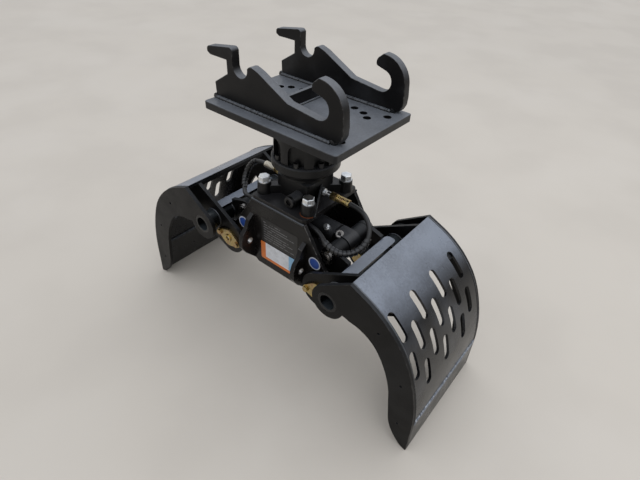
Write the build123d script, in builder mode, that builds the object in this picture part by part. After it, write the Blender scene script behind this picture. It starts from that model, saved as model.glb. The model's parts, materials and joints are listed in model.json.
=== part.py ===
"""Rotating sorting grapple for a 2.5 to 4 t excavator, in millimetres.

Origin on the ground in the middle of the grapple, +X across the opening, +Y along the pivots, +Z up.
The shells stand fully open on their cutting edges and the rotator is at zero.
"""
import os
from math import acos, atan2, cos, degrees, hypot, pi, radians, sin, tan

from build123d import *

os.makedirs("parts", exist_ok=True)

# Clearances
run_gap = 0.05            # radial running clearance of a pin in its bore
side_gap = 0.3            # between flat faces that slide past each other
weld_gap = 0.02           # round piece welded into a cut hole
bolt_gap = 0.5            # bolt in its hole
close_gap = 0.3           # between the lips of the two shut shells
edge_break = 1.5          # chamfer on machined edges

# Widths from the middle outwards
arm_y = 81.0              # middle of each inner arm
arm_t = 14.0
arm_to_link = 5.5
link_t = 12.0
link_to_frame = 4.5
frame_t = 12.0
frame_to_rib = 16.0
rib_t = 12.0
rib_to_side = 38.0
side_t = 12.0

# Shells
sheet_t = 8.0
tip_x = 565.0
corner = (318.0, 492.0)
top_slope = 23.0          # degrees below level at the sheet's top edge
top_flat = 45.0
upper_bend_r = 300.0
upper_bend = 44.0         # degrees
lower_bend_r = 560.0
lower_bend = 20.5
edge_t = 16.0
edge_taper_z = 42.0       # the blade has its full thickness above this
tip_flat = 3.0            # ground flat under the lip
edge_lip = 6.0
side_lip = 20.0
throat_r = 20.0
jaw_top = (330.0, 366.0)
jaw_mid = (424.0, 318.0)
jaw_low = (478.0, 180.0)
jaw_toe = (490.0, 100.0)
small_hole_r = 4.0
small_holes = ((416.0, 388.0), (504.0, 252.0), (521.0, 94.0))
slot_length = 85.0
slot_w = 26.0
slot_pitch_y = 103.0
slot_pitch_s = 58.5
slot_first_s = 155.0
slot_middle_y = -15.5     # the pattern stands towards the front
slot_rows = 4
stiffener_t = 10.0
stiffener_inset = 2.0

# Pivots
pivot_x = 183.0
pivot_z = 343.0
pin_r = 20.0
pivot_eye_r = 50.0
rib_eye_r = 58.0
rib_heel = (352.0, 366.0)
rib_run = 90.0            # how far the rib follows the bent sheet
hub_r = 36.0
hub_room = 8.0            # from the cylinder's barrel to the hubs
pin_room = 2.0            # from the cylinder's barrel to the pivot pins
bush_wall = 6.0
flange_t = 8.0
flange_hub_r = 30.0
flange_ear_r = 12.0
flange_hole_r = 5.5
flange_span = 76.0
flange_turn = 12.0        # degrees
flange_grease_r = 6.0
flange_grease_depth = 12.0
flange_bolt_af = 17.0
flange_bolt_head = 7.0

# Cross tube, from the pivot
tube_from_pivot = (70.0, 42.0)
tube_r = 30.5
tube_bore_r = 23.0
boss_r = 52.0
strap_w = 36.0
strap_t = 8.0
strap_end = 20.0          # strap past the rear arm
strap_corner_r = 14.0
strap_lift = 0.3          # strap's underside above the tube
ring_t = 6.0
ring_r = 43.0

# Inner arms, cylinder pins and tie rod
tube_lobe = 12.0          # arm round the tube
hub_lobe = 10.0           # arm round the hub
arm_eye_r = 27.0
arm_boss_r = 26.0
cylinder_pin_from_pivot = (-15.0, 84.0)
cylinder_pin_r = 17.5
cylinder_pin_stand = 18.0
pin_ring_wall = 4.0
pin_ring_back = 4.0
grease_hole_r = 9.0
grease_hole_depth = 14.0
link_arm = 54.0           # pivot to link pin
link_pin_r = 8.0
link_pin_stand = 2.0
link_pin_lobe = 11.0      # arm round the link pin
link_wall = 7.0           # tie rod round its pins
link_w = 22.0
link_room = 3.0           # tie rod to the frame's floor

# Frame
frame_top_z = 515.0
frame_top_x = 102.0
shoulder = (160.0, 425.0)
frame_low_z = 280.0
frame_low_x = 84.0
frame_heel = (115.0, 298.0)
floor_mitre = (5.0, 3.0)
top_plate_t = 15.0
top_plate_corner = 8.0
bottom_t = 12.0
eye_x = 105.0
eye_t = 14.0
eye_hole = (20.0, 26.0)   # from the frame's face and the pivot's height, as is the eye's outline
eye_hole_r = 11.0
eye_outline = (
    (0.0, -53.0), (0.0, 117.0), (19.0, 102.0), (29.0, 77.0),
    (45.0, 61.0), (53.0, 40.0), (53.0, 13.0), (38.0, -13.0),
)

# Rotator
bolt_x = 84.0
bolt_y = 85.0
bolt_r = 10.0
spacer_r = 22.0           # at its foot
spacer_taper = 4.0        # degrees
spacer_h = 35.0
spacer_arm_w = 26.0
spacer_arm_h = 26.0
bolt_flange_r = 17.5
bolt_flange_t = 3.0
bolt_head_h = 18.0
bolt_head_af = 30.0
block_half = 60.0
block_corner_r = 10.0
block_h = 62.0
neck_r = 66.0
neck_h = 8.0
shaft_r = 45.0
shaft_bore_r = 14.0
shaft_pocket = 15.0       # floor of the shaft's pocket above the deck
shaft_foot_gap = 2.0
thrust_t = 6.0
thrust_inset = 4.0
thrust_bore_gap = 3.0
drum_seat = 6.0           # shaft's end below the flange's underside
ring_flange_r = 99.0
ring_flange_t = 26.0
drum_foot_r = 78.0
drum_foot_h = 20.0
drum_neck = (6.0, 3.0)
drum_undercut_r = 88.0
drum_bevel = 3.0
drum_r = 92.0
pocket_count = 8
pocket_w = 46.0
pocket_h = 62.0
pocket_depth = 15.0
drum_bolt_inset = 13.0
drum_bolt_r = 8.0
drum_bolt_h = 14.0
drum_socket_af = 8.0
drum_socket_depth = 7.0
port_from_deck = 26.0
plug_x = 28.0
plug_from_deck = 19.0
plug_boss_r = 18.5
plug_boss_reach = 36.0    # past the block's front
plug_r = 17.0
plug_head_t = 9.0
plug_socket_af = 17.0
plug_socket_depth = 7.0
plug_thread_r = 13.0
plug_thread_depth = 20.0
plug_end_gap = 1.0

# Adapter plate and hooks
plate_x = 440.0
plate_y = 325.0
plate_t = 20.0
plate_top_z = 787.0
plate_corner_r = 8.0
plate_hole_r = 10.5
hole_rows = ((150.0, 56.0), (126.0, 75.0), (90.0, 85.0))
end_hole = (185.0, 98.0)
near_hook_y = 109.5       # middle of the front hook plate, before the rotator's axis
far_hook_y = 143.0        # middle of the rear one, behind it
hook_t = 25.0
front_pin = (-118.0, 886.0)
front_seat_r = 25.0
rear_pin = (135.0, 859.0)
rear_seat_r = 27.0
cross_x = -27.5
cross_t = 11.0
cross_h = 36.0

# Hook plate's outline, from the front pin and from the rear pin
seat_back = ((33.0, 10.0), (41.0, 11.0), (63.0, 4.0), (158.0, -44.0))
seat_step = 4.0
nose_foot = -97.0
nose_under = ((-99.0, -58.0), (-48.0, -26.0), (-48.0, 8.0))
nose_tip = ((-108.0, 8.0), (-119.0, 14.0), (-119.0, 24.0), (-114.0, 29.0), (-37.0, 41.0))
nose_round = (-27.0, 37.0)
seat_mouth = 28.0
hook_floor = -5.0
hook_tip = ((-21.0, 34.0), (-23.0, 46.0), (-15.0, 57.0))
hook_crown = ((-5.0, 66.0), (43.0, 49.0), (68.0, 1.0))
hook_heel = ((68.0, 1.0), (71.0, -29.0), (70.0, -49.0), (63.0, -64.0))
hook_foot = 40.0
hook_seat_low = -10.0     # degrees
hook_seat_end = 75.0

# Cylinder
barrel_r = 38.0
barrel_bore_r = 30.0
barrel_back = 34.0        # pin centre to the barrel's back face
barrel_length = 236.0
barrel_base_t = 14.0
gland_length = 20.0
gland_lip = 10.0
gland_step = 2.0
rod_r = 17.5
piston_t = 20.0
piston_gap = 3.0
eye_w = 50.0
barrel_eye_r = 29.0
rod_eye_r = 27.0
port_boss_r = 11.0
port_boss_stand = 5.0
port_boss_depth = 12.0
port_from_base = 18.0
port_from_gland = 16.0

# Hydraulics
block_length = 80.0
block_height = 42.0
block_room = 7.0          # valve block to the frame's side plates
hose_port_y = -86.0
hose_r = 7.0
ferrule_r = 10.5
ferrule_length = 34.0
fitting_r = 12.0
block_union = 12.0
swivel_union = 14.0
swivel_neck = 24.0
swivel_neck_r = 8.0
swivel_nut = 20.0
swivel_nut_r = 12.5
swivel_ferrule = 44.0

arm_inner = arm_y - arm_t / 2
arm_outer = arm_y + arm_t / 2
link_y = arm_outer + arm_to_link + link_t / 2
frame_inner = link_y + link_t / 2 + link_to_frame
frame_half = frame_inner + frame_t
rib_y = frame_half + frame_to_rib + rib_t / 2
rib_outer = rib_y + rib_t / 2
sheet_half = rib_outer + rib_to_side
half_width = sheet_half + side_t
deck_z = frame_top_z + top_plate_t
block_top_z = deck_z + block_h
neck_top_z = block_top_z + neck_h
port_z = deck_z + port_from_deck
plug_z = deck_z + plug_from_deck
plug_seat_y = block_half + plug_boss_reach
drum_foot_z = neck_top_z + thrust_t + side_gap
flange_low_z = drum_foot_z + drum_foot_h - side_gap
flange_high_z = flange_low_z + ring_flange_t
shaft_top_z = flange_low_z - drum_seat
plate_under_z = plate_top_z - plate_t
tube_x = pivot_x + tube_from_pivot[0]
tube_z = pivot_z + tube_from_pivot[1]
strap_low_z = tube_z + tube_r + strap_lift
cylinder_pin_x = pivot_x + cylinder_pin_from_pivot[0]
cylinder_pin_z = pivot_z + cylinder_pin_from_pivot[1]
block_port_z = frame_top_z - block_height / 2

# The shells are shut when their lips stand upright, close_gap apart
lip_swing = hypot(tip_x - tip_flat - pivot_x, pivot_z)
lip_open = atan2(pivot_z, tip_x - tip_flat - pivot_x)
close_angle = 180 - degrees(acos((pivot_x - close_gap / 2) / lip_swing) + lip_open)
link_arm_angle = 90 - close_angle / 2


def save(part, name):
    """Label a finished piece and write it."""
    part.label = name
    export_step(part, f"parts/{name}.step")


def side_plane(side, y=0.0):
    """Upright plane at y whose own X runs outwards on that side of the grapple."""
    return Plane(origin=(0, y, 0), x_dir=(side, 0, 0), z_dir=(0, -side, 0))


def tangent_angle(point, centre, radius, turn):
    """Direction from a circle's centre to where a line from point touches it."""
    dx = point[0] - centre[0]
    dz = point[1] - centre[1]
    return degrees(atan2(dz, dx) + turn * acos(radius / hypot(dx, dz)))


def on_circle(centre, radius, angle):
    return (centre[0] + radius * cos(radians(angle)), centre[1] + radius * sin(radians(angle)))


def offset_from(point, step):
    return (point[0] + step[0], point[1] + step[1])


def lip(reach):
    """Point on the line that stands upright when the shells are shut, from the ground flat up."""
    lean = radians(90 + close_angle)
    return (tip_x - tip_flat + reach * cos(lean), reach * sin(lean))


def skin(run, inset=0.0):
    """Point of the sheet's profile a given run below its top edge, with its heading in degrees."""
    x, z = corner
    heading = -top_slope
    for length, radius in sheet_runs:
        step = min(run, length)
        if radius:
            turn = degrees(step / radius)
            chord = 2 * radius * sin(radians(turn / 2))
            x += chord * cos(radians(heading - turn / 2))
            z += chord * sin(radians(heading - turn / 2))
            heading -= turn
        else:
            x += step * cos(radians(heading))
            z += step * sin(radians(heading))
        run -= step
        if run <= 0:
            break
    return (x - inset * sin(radians(-heading)), z - inset * cos(radians(heading))), heading


sheet_runs = (
    (top_flat, None),
    (upper_bend_r * radians(upper_bend), upper_bend_r),
    (lower_bend_r * radians(lower_bend), lower_bend_r),
)
sheet_length = sum(length for length, radius in sheet_runs)
weld_point, weld_heading = skin(sheet_length)
weld_inner = skin(sheet_length, sheet_t)[0]


def skin_line(inset):
    """Draw the sheet's profile from its top edge to the weld, at a depth below its outer face."""
    flat_end = top_flat
    bend_end = flat_end + sheet_runs[1][0]
    upper_mid = (flat_end + bend_end) / 2
    lower_mid = (bend_end + sheet_length) / 2
    Line(skin(0, inset)[0], skin(flat_end, inset)[0])
    ThreePointArc(skin(flat_end, inset)[0], skin(upper_mid, inset)[0], skin(bend_end, inset)[0])
    ThreePointArc(skin(bend_end, inset)[0], skin(lower_mid, inset)[0], skin(sheet_length, inset)[0])


tube = (tube_x, tube_z)
pivot = (pivot_x, pivot_z)
cylinder_pin = (cylinder_pin_x, cylinder_pin_z)
link_pin_high = (
    pivot_x - link_arm * cos(radians(link_arm_angle)),
    pivot_z + link_arm * sin(radians(link_arm_angle)),
)
link_pin_low = (
    pivot_x + link_arm * cos(radians(link_arm_angle)),
    pivot_z - link_arm * sin(radians(link_arm_angle)),
)
link_pins = {1: link_pin_low, -1: link_pin_high}


def make_side_plate(side, y):
    """Shell side plate: bent back, curved jaw, and a boss round the cross tube."""
    boss_top = tangent_angle(corner, tube, boss_r, 1)
    with BuildPart() as plate:
        with BuildSketch(side_plane(side, y)) as outline:
            with BuildLine():
                skin_line(0)
                Polyline(weld_point, (tip_x, 0), lip(0), lip(side_lip))
                toe_lean = (jaw_toe[0] - jaw_low[0], jaw_toe[1] - jaw_low[1])
                TangentArc(jaw_toe, lip(side_lip), tangent=toe_lean)
                Line(jaw_toe, jaw_low)
                upper = TangentArc(jaw_top, jaw_mid, tangent=(1, 0))
                TangentArc(jaw_mid, jaw_low, tangent=upper % 1)
                Line(jaw_top, tube)
                Line(tube, on_circle(tube, boss_r, boss_top))
                Line(on_circle(tube, boss_r, boss_top), corner)
            make_face()
            with Locations(tube):
                Circle(boss_r)
            throat_x = side * jaw_top[0]
            throat = outline.vertices().filter_by_position(Axis.X, throat_x - 1, throat_x + 1)
            fillet(throat.sort_by(Axis.Z)[:1], throat_r)
            with Locations(tube):
                Circle(tube_r + weld_gap, mode=Mode.SUBTRACT)
            with Locations(small_holes):
                Circle(small_hole_r, mode=Mode.SUBTRACT)
        extrude(amount=side_t / 2, both=True)
    return plate.part


def make_sheet(side):
    """Bent back sheet with staggered slots."""
    with BuildPart() as sheet:
        with BuildSketch(side_plane(side)):
            with BuildLine():
                skin_line(0)
                Line(weld_point, weld_inner)
                skin_line(sheet_t)
                Line(corner, skin(0, sheet_t)[0])
            make_face()
        extrude(amount=sheet_half, both=True)
        for row in range(slot_rows):
            (x, z), heading = skin(slot_first_s + row * slot_pitch_s)
            lean = (side * cos(radians(heading)), 0, sin(radians(heading)))
            out = (side * -sin(radians(heading)), 0, cos(radians(heading)))
            columns = 4 - row % 2
            with BuildSketch(Plane(origin=(side * x, 0, z), x_dir=lean, z_dir=out)):
                with Locations((0, side * slot_middle_y)):
                    with GridLocations(1, slot_pitch_y, 1, columns):
                        SlotOverall(slot_length, slot_w)
            extrude(amount=2.5 * sheet_t, both=True, mode=Mode.SUBTRACT)
    return sheet.part


def make_cutting_edge(side):
    """Thick blade below the sheet, ground to a narrow lip on its inner face."""
    with BuildPart() as edge:
        with BuildSketch(side_plane(side)):
            with BuildLine():
                Polyline(
                    weld_point,
                    (tip_x, 0),
                    lip(0),
                    lip(edge_lip),
                    (tip_x - edge_t, edge_taper_z),
                    skin(sheet_length, edge_t)[0],
                    close=True,
                )
            make_face()
        extrude(amount=sheet_half, both=True)
    return edge.part


def make_top_stiffener(side):
    """Flat bar under the sheet's top edge, between the ribs."""
    start = stiffener_inset
    end = top_flat - stiffener_inset
    with BuildPart() as bar:
        with BuildSketch(side_plane(side)):
            with BuildLine():
                Polyline(
                    skin(start, sheet_t)[0],
                    skin(end, sheet_t)[0],
                    skin(end, sheet_t + stiffener_t)[0],
                    skin(start, sheet_t + stiffener_t)[0],
                    close=True,
                )
            make_face()
        extrude(amount=rib_y - rib_t / 2, both=True)
    return bar.part


def make_ribs(side):
    """Two outer ribs from the sheet to the pivot, with the cross tube through them."""
    eye_low = tangent_angle(rib_heel, pivot, rib_eye_r, -1)
    mid = skin(top_flat + rib_run / 2, sheet_t)[0]
    far = skin(top_flat + rib_run, sheet_t)[0]
    inner_corner = skin(0, sheet_t)[0]
    eye_top = tangent_angle(inner_corner, pivot, rib_eye_r, 1)
    with BuildPart() as ribs:
        for y in (-rib_y, rib_y):
            with BuildSketch(side_plane(side, y)):
                with BuildLine():
                    Line(on_circle(pivot, rib_eye_r, eye_top), inner_corner)
                    Line(inner_corner, skin(top_flat, sheet_t)[0])
                    ThreePointArc(skin(top_flat, sheet_t)[0], mid, far)
                    Line(far, rib_heel)
                    Line(rib_heel, on_circle(pivot, rib_eye_r, eye_low))
                    ThreePointArc(
                        on_circle(pivot, rib_eye_r, eye_low),
                        on_circle(pivot, rib_eye_r, 180),
                        on_circle(pivot, rib_eye_r, eye_top),
                    )
                make_face()
                with Locations(tube):
                    Circle(tube_r + weld_gap, mode=Mode.SUBTRACT)
                with Locations(pivot):
                    Circle(pin_r + run_gap, mode=Mode.SUBTRACT)
            extrude(amount=rib_t / 2, both=True)
    return ribs.part


def make_cross_tube(side):
    with BuildPart() as body:
        with BuildSketch(side_plane(side)):
            with Locations(tube):
                Circle(tube_r)
                Circle(tube_bore_r, mode=Mode.SUBTRACT)
        extrude(amount=half_width, both=True)
    return body.part


def make_boss_rings(side):
    """Thick rings on the inner faces of the side plates, round the tube."""
    with BuildPart() as rings:
        for end in (-1, 1):
            with BuildSketch(side_plane(side, end * (sheet_half - ring_t / 2))):
                with Locations(tube):
                    Circle(ring_r)
                    Circle(tube_r + weld_gap, mode=Mode.SUBTRACT)
            extrude(amount=ring_t / 2, both=True)
    return rings.part


def make_tube_strap(side):
    """Flat bar on the cross tube, from the front rib through both arms to a rounded end."""
    rear_end = arm_outer + strap_end
    front_end = rib_t / 2 - rib_y
    with BuildPart() as strap:
        with BuildSketch(side_plane(side, (front_end + rear_end) / 2)):
            with Locations((tube_x, strap_low_z)):
                Rectangle(strap_w, strap_t, align=(Align.CENTER, Align.MIN))
        extrude(amount=(rear_end - front_end) / 2, both=True)
        fillet(strap.edges().filter_by(Axis.Z).sort_by(Axis.Y)[-2:], strap_corner_r)
    return strap.part


def make_pivot_hub(side):
    """Two tubes round the pivot pins, with room for the cylinder between them."""
    inner = barrel_r + hub_room
    with BuildPart() as hub:
        for end, outer in ((-1, arm_outer), (1, frame_inner - side_gap)):
            with BuildSketch(side_plane(side, end * (inner + outer) / 2)):
                with Locations(pivot):
                    Circle(hub_r)
                    Circle(pin_r + run_gap, mode=Mode.SUBTRACT)
            extrude(amount=(outer - inner) / 2, both=True)
    return hub.part


def make_arms(side):
    """Two inner arms that join the hub, the cross tube, the cylinder pin and the link pin."""
    link_pin = link_pins[side]
    with BuildPart() as arms:
        for y in (-arm_y, arm_y):
            with BuildSketch(side_plane(side, y)):
                with BuildSketch(mode=Mode.PRIVATE) as eyes:
                    with Locations(cylinder_pin):
                        Circle(arm_eye_r)
                    with Locations(tube):
                        Circle(tube_r + tube_lobe)
                    with Locations(pivot):
                        Circle(hub_r + hub_lobe)
                    if y < 0:
                        with Locations(link_pin):
                            Circle(link_pin_r + link_pin_lobe)
                add(make_hull(eyes.sketch.edges(), mode=Mode.PRIVATE))
                with Locations(tube):
                    Circle(tube_r + weld_gap, mode=Mode.SUBTRACT)
                with Locations((tube_x, strap_low_z)):
                    Rectangle(
                        strap_w, 2 * tube_lobe, align=(Align.CENTER, Align.MIN), mode=Mode.SUBTRACT
                    )
                with Locations(pivot):
                    Circle(hub_r + weld_gap, mode=Mode.SUBTRACT)
                with Locations(cylinder_pin):
                    Circle(cylinder_pin_r + run_gap, mode=Mode.SUBTRACT)
                if y < 0:
                    with Locations(link_pin):
                        Circle(link_pin_r + weld_gap, mode=Mode.SUBTRACT)
            extrude(amount=arm_t / 2, both=True)
    return arms.part


def make_arm_bosses(side):
    """Spacer bosses on the arms that close the gap to the cylinder's eye."""
    length = arm_inner - eye_w / 2 - side_gap
    with BuildPart() as bosses:
        for end in (-1, 1):
            with BuildSketch(side_plane(side, end * (arm_inner - length / 2))):
                with Locations(cylinder_pin):
                    Circle(arm_boss_r)
                    Circle(cylinder_pin_r + run_gap, mode=Mode.SUBTRACT)
            extrude(amount=length / 2, both=True)
    return bosses.part


def make_cylinder_pin(side):
    """Pin through the arms, with a retaining ring and a grease hole at each end."""
    pin_end = arm_outer + cylinder_pin_stand
    ring_end = pin_end - pin_ring_back
    with BuildPart() as pin:
        with BuildSketch(side_plane(side)):
            with Locations(cylinder_pin):
                Circle(cylinder_pin_r)
        extrude(amount=pin_end, both=True)
        for end in (-1, 1):
            with BuildSketch(side_plane(side, end * (arm_outer + ring_end) / 2)):
                with Locations(cylinder_pin):
                    Circle(cylinder_pin_r + pin_ring_wall)
            extrude(amount=(ring_end - arm_outer) / 2, both=True)
            with BuildSketch(side_plane(side, end * pin_end)):
                with Locations(cylinder_pin):
                    Circle(grease_hole_r)
            extrude(amount=grease_hole_depth, both=True, mode=Mode.SUBTRACT)
    return pin.part


def make_link_pin(side):
    """Stub pin for the synchronising link, welded in the near arm."""
    pin_end = link_y + link_t / 2 + link_pin_stand
    with BuildPart() as pin:
        with BuildSketch(side_plane(side, -(arm_inner + pin_end) / 2)):
            with Locations(link_pins[side]):
                Circle(link_pin_r)
        extrude(amount=(pin_end - arm_inner) / 2, both=True)
    return pin.part


def make_pivot_pins(side):
    """Two short pins, each with a two-hole flange on its rib and a grease hole in the middle."""
    length = rib_outer - barrel_r - pin_room
    with BuildPart() as pins:
        for end in (-1, 1):
            with BuildSketch(side_plane(side, end * (rib_outer + flange_t / 2))):
                with Locations(Location((pivot_x, pivot_z), flange_turn)):
                    with BuildSketch(mode=Mode.PRIVATE) as shape:
                        Circle(flange_hub_r)
                        with Locations((-flange_span / 2, 0), (flange_span / 2, 0)):
                            Circle(flange_ear_r)
                    add(make_hull(shape.sketch.edges(), mode=Mode.PRIVATE))
                    with Locations((-flange_span / 2, 0), (flange_span / 2, 0)):
                        Circle(flange_hole_r, mode=Mode.SUBTRACT)
            extrude(amount=flange_t / 2, both=True)
            with BuildSketch(side_plane(side, end * (rib_outer - length / 2))):
                with Locations(pivot):
                    Circle(pin_r)
            extrude(amount=length / 2, both=True)
            with BuildSketch(side_plane(side, end * (rib_outer + flange_t))):
                with Locations(pivot):
                    Circle(flange_grease_r)
            extrude(amount=flange_grease_depth, both=True, mode=Mode.SUBTRACT)
    return pins.part


def make_flange_bolts(side):
    """Hexagon bolts of the pin flanges."""
    outer_face = rib_outer + flange_t
    with BuildPart() as bolts:
        for end in (-1, 1):
            for reach in (-flange_span / 2, flange_span / 2):
                spot = on_circle(pivot, reach, flange_turn)
                with BuildSketch(side_plane(side, end * (outer_face + flange_bolt_head / 2))):
                    with Locations(spot):
                        RegularPolygon(flange_bolt_af / 2, 6, major_radius=False)
                extrude(amount=flange_bolt_head / 2, both=True)
                with BuildSketch(side_plane(side, end * (outer_face - flange_t / 2))):
                    with Locations(spot):
                        Circle(flange_hole_r - bolt_gap)
                extrude(amount=flange_t / 2, both=True)
    return bolts.part


def make_frame_side(y):
    """Frame side plate with an eye round each pivot."""
    top = tangent_angle(shoulder, pivot, pivot_eye_r, -1)
    low = tangent_angle(frame_heel, pivot, pivot_eye_r, 1)
    with BuildPart() as plate:
        with BuildSketch(side_plane(1, y)):
            for side in (-1, 1):
                with BuildLine():
                    Polyline(
                        (0, frame_low_z),
                        (side * frame_low_x, frame_low_z),
                        (side * frame_heel[0], frame_heel[1]),
                        (side * pivot_x, pivot_z - pivot_eye_r),
                        (side * pivot_x, pivot_z + pivot_eye_r),
                        (side * shoulder[0], shoulder[1]),
                        (side * frame_top_x, frame_top_z),
                        (0, frame_top_z),
                        close=True,
                    )
                make_face()
                with Locations((side * pivot_x, pivot_z)):
                    Circle(pivot_eye_r)
            for side in (-1, 1):
                with Locations((side * pivot_x, pivot_z)):
                    Circle(pin_r + run_gap + bush_wall + weld_gap, mode=Mode.SUBTRACT)
        extrude(amount=frame_t / 2, both=True)
    return plate.part


def make_frame_top():
    """Deck plate under the rotator, with tapped holes for its four bolts."""
    with BuildPart() as deck:
        with BuildSketch(Plane.XY.offset(frame_top_z)):
            Rectangle(2 * frame_top_x, 2 * frame_half)
            with GridLocations(2 * bolt_x, 2 * bolt_y, 2, 2):
                Circle(bolt_r + weld_gap, mode=Mode.SUBTRACT)
        extrude(amount=top_plate_t)
        chamfer(deck.edges().filter_by(Axis.Z).sort_by(Axis.X)[0:2], top_plate_corner)
        chamfer(deck.edges().filter_by(Axis.Z).sort_by(Axis.X)[-2:], top_plate_corner)
    return deck.part


def make_frame_bottom():
    """Bent floor between the side plates, cut away where the tie rod passes its right end."""
    bend_x = frame_low_x - floor_mitre[1]
    relief_y = arm_outer + arm_to_link - link_room
    with BuildPart() as floor:
        with BuildSketch(side_plane(1)):
            with BuildLine():
                Polyline(
                    (-frame_heel[0], frame_heel[1]),
                    (-frame_low_x, frame_low_z),
                    (frame_low_x, frame_low_z),
                    frame_heel,
                    (frame_heel[0] - floor_mitre[0], frame_heel[1] + bottom_t),
                    (bend_x, frame_low_z + bottom_t),
                    (-bend_x, frame_low_z + bottom_t),
                    (floor_mitre[0] - frame_heel[0], frame_heel[1] + bottom_t),
                    close=True,
                )
            make_face()
        extrude(amount=frame_inner, both=True)
        with Locations((bend_x, -relief_y, frame_low_z)):
            Box(
                frame_heel[0], frame_inner, frame_heel[1],
                align=(Align.MIN, Align.MAX, Align.MIN),
                mode=Mode.SUBTRACT,
            )
    return floor.part


def make_lashing_eyes():
    """Four eye plates that stand square on the frame's side plates."""
    root = (frame_half, pivot_z)
    with BuildPart() as eyes:
        for side in (-1, 1):
            for end in (-1, 1):
                face = Plane(origin=(side * eye_x, 0, 0), x_dir=(0, end, 0), z_dir=(end, 0, 0))
                with BuildSketch(face):
                    with BuildLine():
                        Polyline(*(offset_from(root, step) for step in eye_outline), close=True)
                    make_face()
                    with Locations(offset_from(root, eye_hole)):
                        Circle(eye_hole_r, mode=Mode.SUBTRACT)
                extrude(amount=eye_t / 2, both=True)
    return eyes.part


def make_pivot_bushes():
    """Bronze bushes in the frame's pivot eyes, standing out to the ribs."""
    outer = rib_y - rib_t / 2 - side_gap
    with BuildPart() as bushes:
        for side in (-1, 1):
            for end in (-1, 1):
                with BuildSketch(side_plane(side, end * (frame_inner + outer) / 2)):
                    with Locations(pivot):
                        Circle(pin_r + run_gap + bush_wall)
                        Circle(pin_r + run_gap, mode=Mode.SUBTRACT)
                extrude(amount=(outer - frame_inner) / 2, both=True)
    return bushes.part


def make_rotator_base():
    """Cast lower housing: square block, round neck, a boss in front and four bolt spacers on arms."""
    with BuildPart() as base:
        with BuildSketch(Plane.XY.offset(deck_z)):
            RectangleRounded(2 * block_half, 2 * block_half, block_corner_r)
        extrude(amount=block_top_z - deck_z)
        with BuildSketch(Plane.XY.offset(block_top_z)):
            Circle(neck_r)
        extrude(amount=neck_top_z - block_top_z)
        with BuildSketch(Plane.XZ):
            with Locations((plug_x, plug_z)):
                Circle(plug_boss_r)
        extrude(amount=plug_seat_y)
        with BuildSketch(Plane.XY.offset(deck_z)):
            with GridLocations(2 * bolt_x, 2 * bolt_y, 2, 2):
                Circle(spacer_r)
        extrude(amount=spacer_h, taper=spacer_taper)
        with BuildSketch(Plane.XY.offset(deck_z)):
            for angle in (45, 135):
                with Locations(Location((0, 0), angle)):
                    Rectangle(2 * hypot(bolt_x, bolt_y), spacer_arm_w)
        extrude(amount=spacer_arm_h)
        with BuildSketch(Plane.XY.offset(deck_z)):
            with GridLocations(2 * bolt_x, 2 * bolt_y, 2, 2):
                Circle(bolt_r + bolt_gap)
        extrude(amount=spacer_h, mode=Mode.SUBTRACT)
        with BuildSketch(Plane.XY.offset(deck_z + shaft_pocket)):
            Circle(shaft_r + run_gap)
        extrude(amount=neck_top_z - deck_z - shaft_pocket, mode=Mode.SUBTRACT)
        with BuildSketch(Plane.XZ.offset(plug_seat_y)):
            with Locations((plug_x, plug_z)):
                Circle(plug_thread_r)
        extrude(amount=-plug_thread_depth, mode=Mode.SUBTRACT)
    return base.part


def make_swivel_plug():
    """Screw plug in the boss in front of the lower housing."""
    with BuildPart() as plug:
        with BuildSketch(Plane.XZ.offset(plug_seat_y)):
            with Locations((plug_x, plug_z)):
                Circle(plug_r)
        extrude(amount=plug_head_t)
        chamfer(plug.faces().sort_by(Axis.Y)[0].edges(), edge_break)
        with BuildSketch(Plane.XZ.offset(plug_seat_y + plug_head_t)):
            with Locations((plug_x, plug_z)):
                RegularPolygon(plug_socket_af / 2, 6, major_radius=False)
        extrude(amount=-plug_socket_depth, mode=Mode.SUBTRACT)
        with BuildSketch(Plane.XZ.offset(plug_seat_y)):
            with Locations((plug_x, plug_z)):
                Circle(plug_thread_r - run_gap)
        extrude(amount=plug_end_gap - plug_thread_depth)
    return plug.part


def make_rotator_bolts():
    """Four flanged hexagon bolts through the spacers into the deck plate."""
    seat_z = deck_z + spacer_h
    with BuildPart() as bolts:
        with BuildSketch(Plane.XY.offset(seat_z)):
            with GridLocations(2 * bolt_x, 2 * bolt_y, 2, 2):
                Circle(bolt_flange_r)
        extrude(amount=bolt_flange_t)
        with BuildSketch(Plane.XY.offset(seat_z + bolt_flange_t)):
            with GridLocations(2 * bolt_x, 2 * bolt_y, 2, 2):
                RegularPolygon(bolt_head_af / 2, 6, major_radius=False)
        extrude(amount=bolt_head_h - bolt_flange_t)
        with BuildSketch(Plane.XY.offset(frame_top_z)):
            with GridLocations(2 * bolt_x, 2 * bolt_y, 2, 2):
                Circle(bolt_r)
        extrude(amount=seat_z - frame_top_z)
        chamfer(bolts.faces().filter_by(Axis.Z).group_by(Axis.Z)[-1].edges(), edge_break)
    return bolts.part


def make_rotator_shaft():
    """Hollow swivel shaft that hangs from the drum in the lower housing."""
    foot_z = deck_z + shaft_pocket + shaft_foot_gap
    with BuildPart() as shaft:
        with BuildSketch(Plane.XY.offset(foot_z)):
            Circle(shaft_r)
            Circle(shaft_bore_r, mode=Mode.SUBTRACT)
        extrude(amount=shaft_top_z - foot_z)
    return shaft.part


def make_thrust_ring():
    """Bearing ring between the neck and the drum."""
    with BuildPart() as ring:
        with BuildSketch(Plane.XY.offset(neck_top_z)):
            Circle(neck_r - thrust_inset)
            Circle(shaft_r + thrust_bore_gap, mode=Mode.SUBTRACT)
        extrude(amount=thrust_t)
    return ring.part


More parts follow.
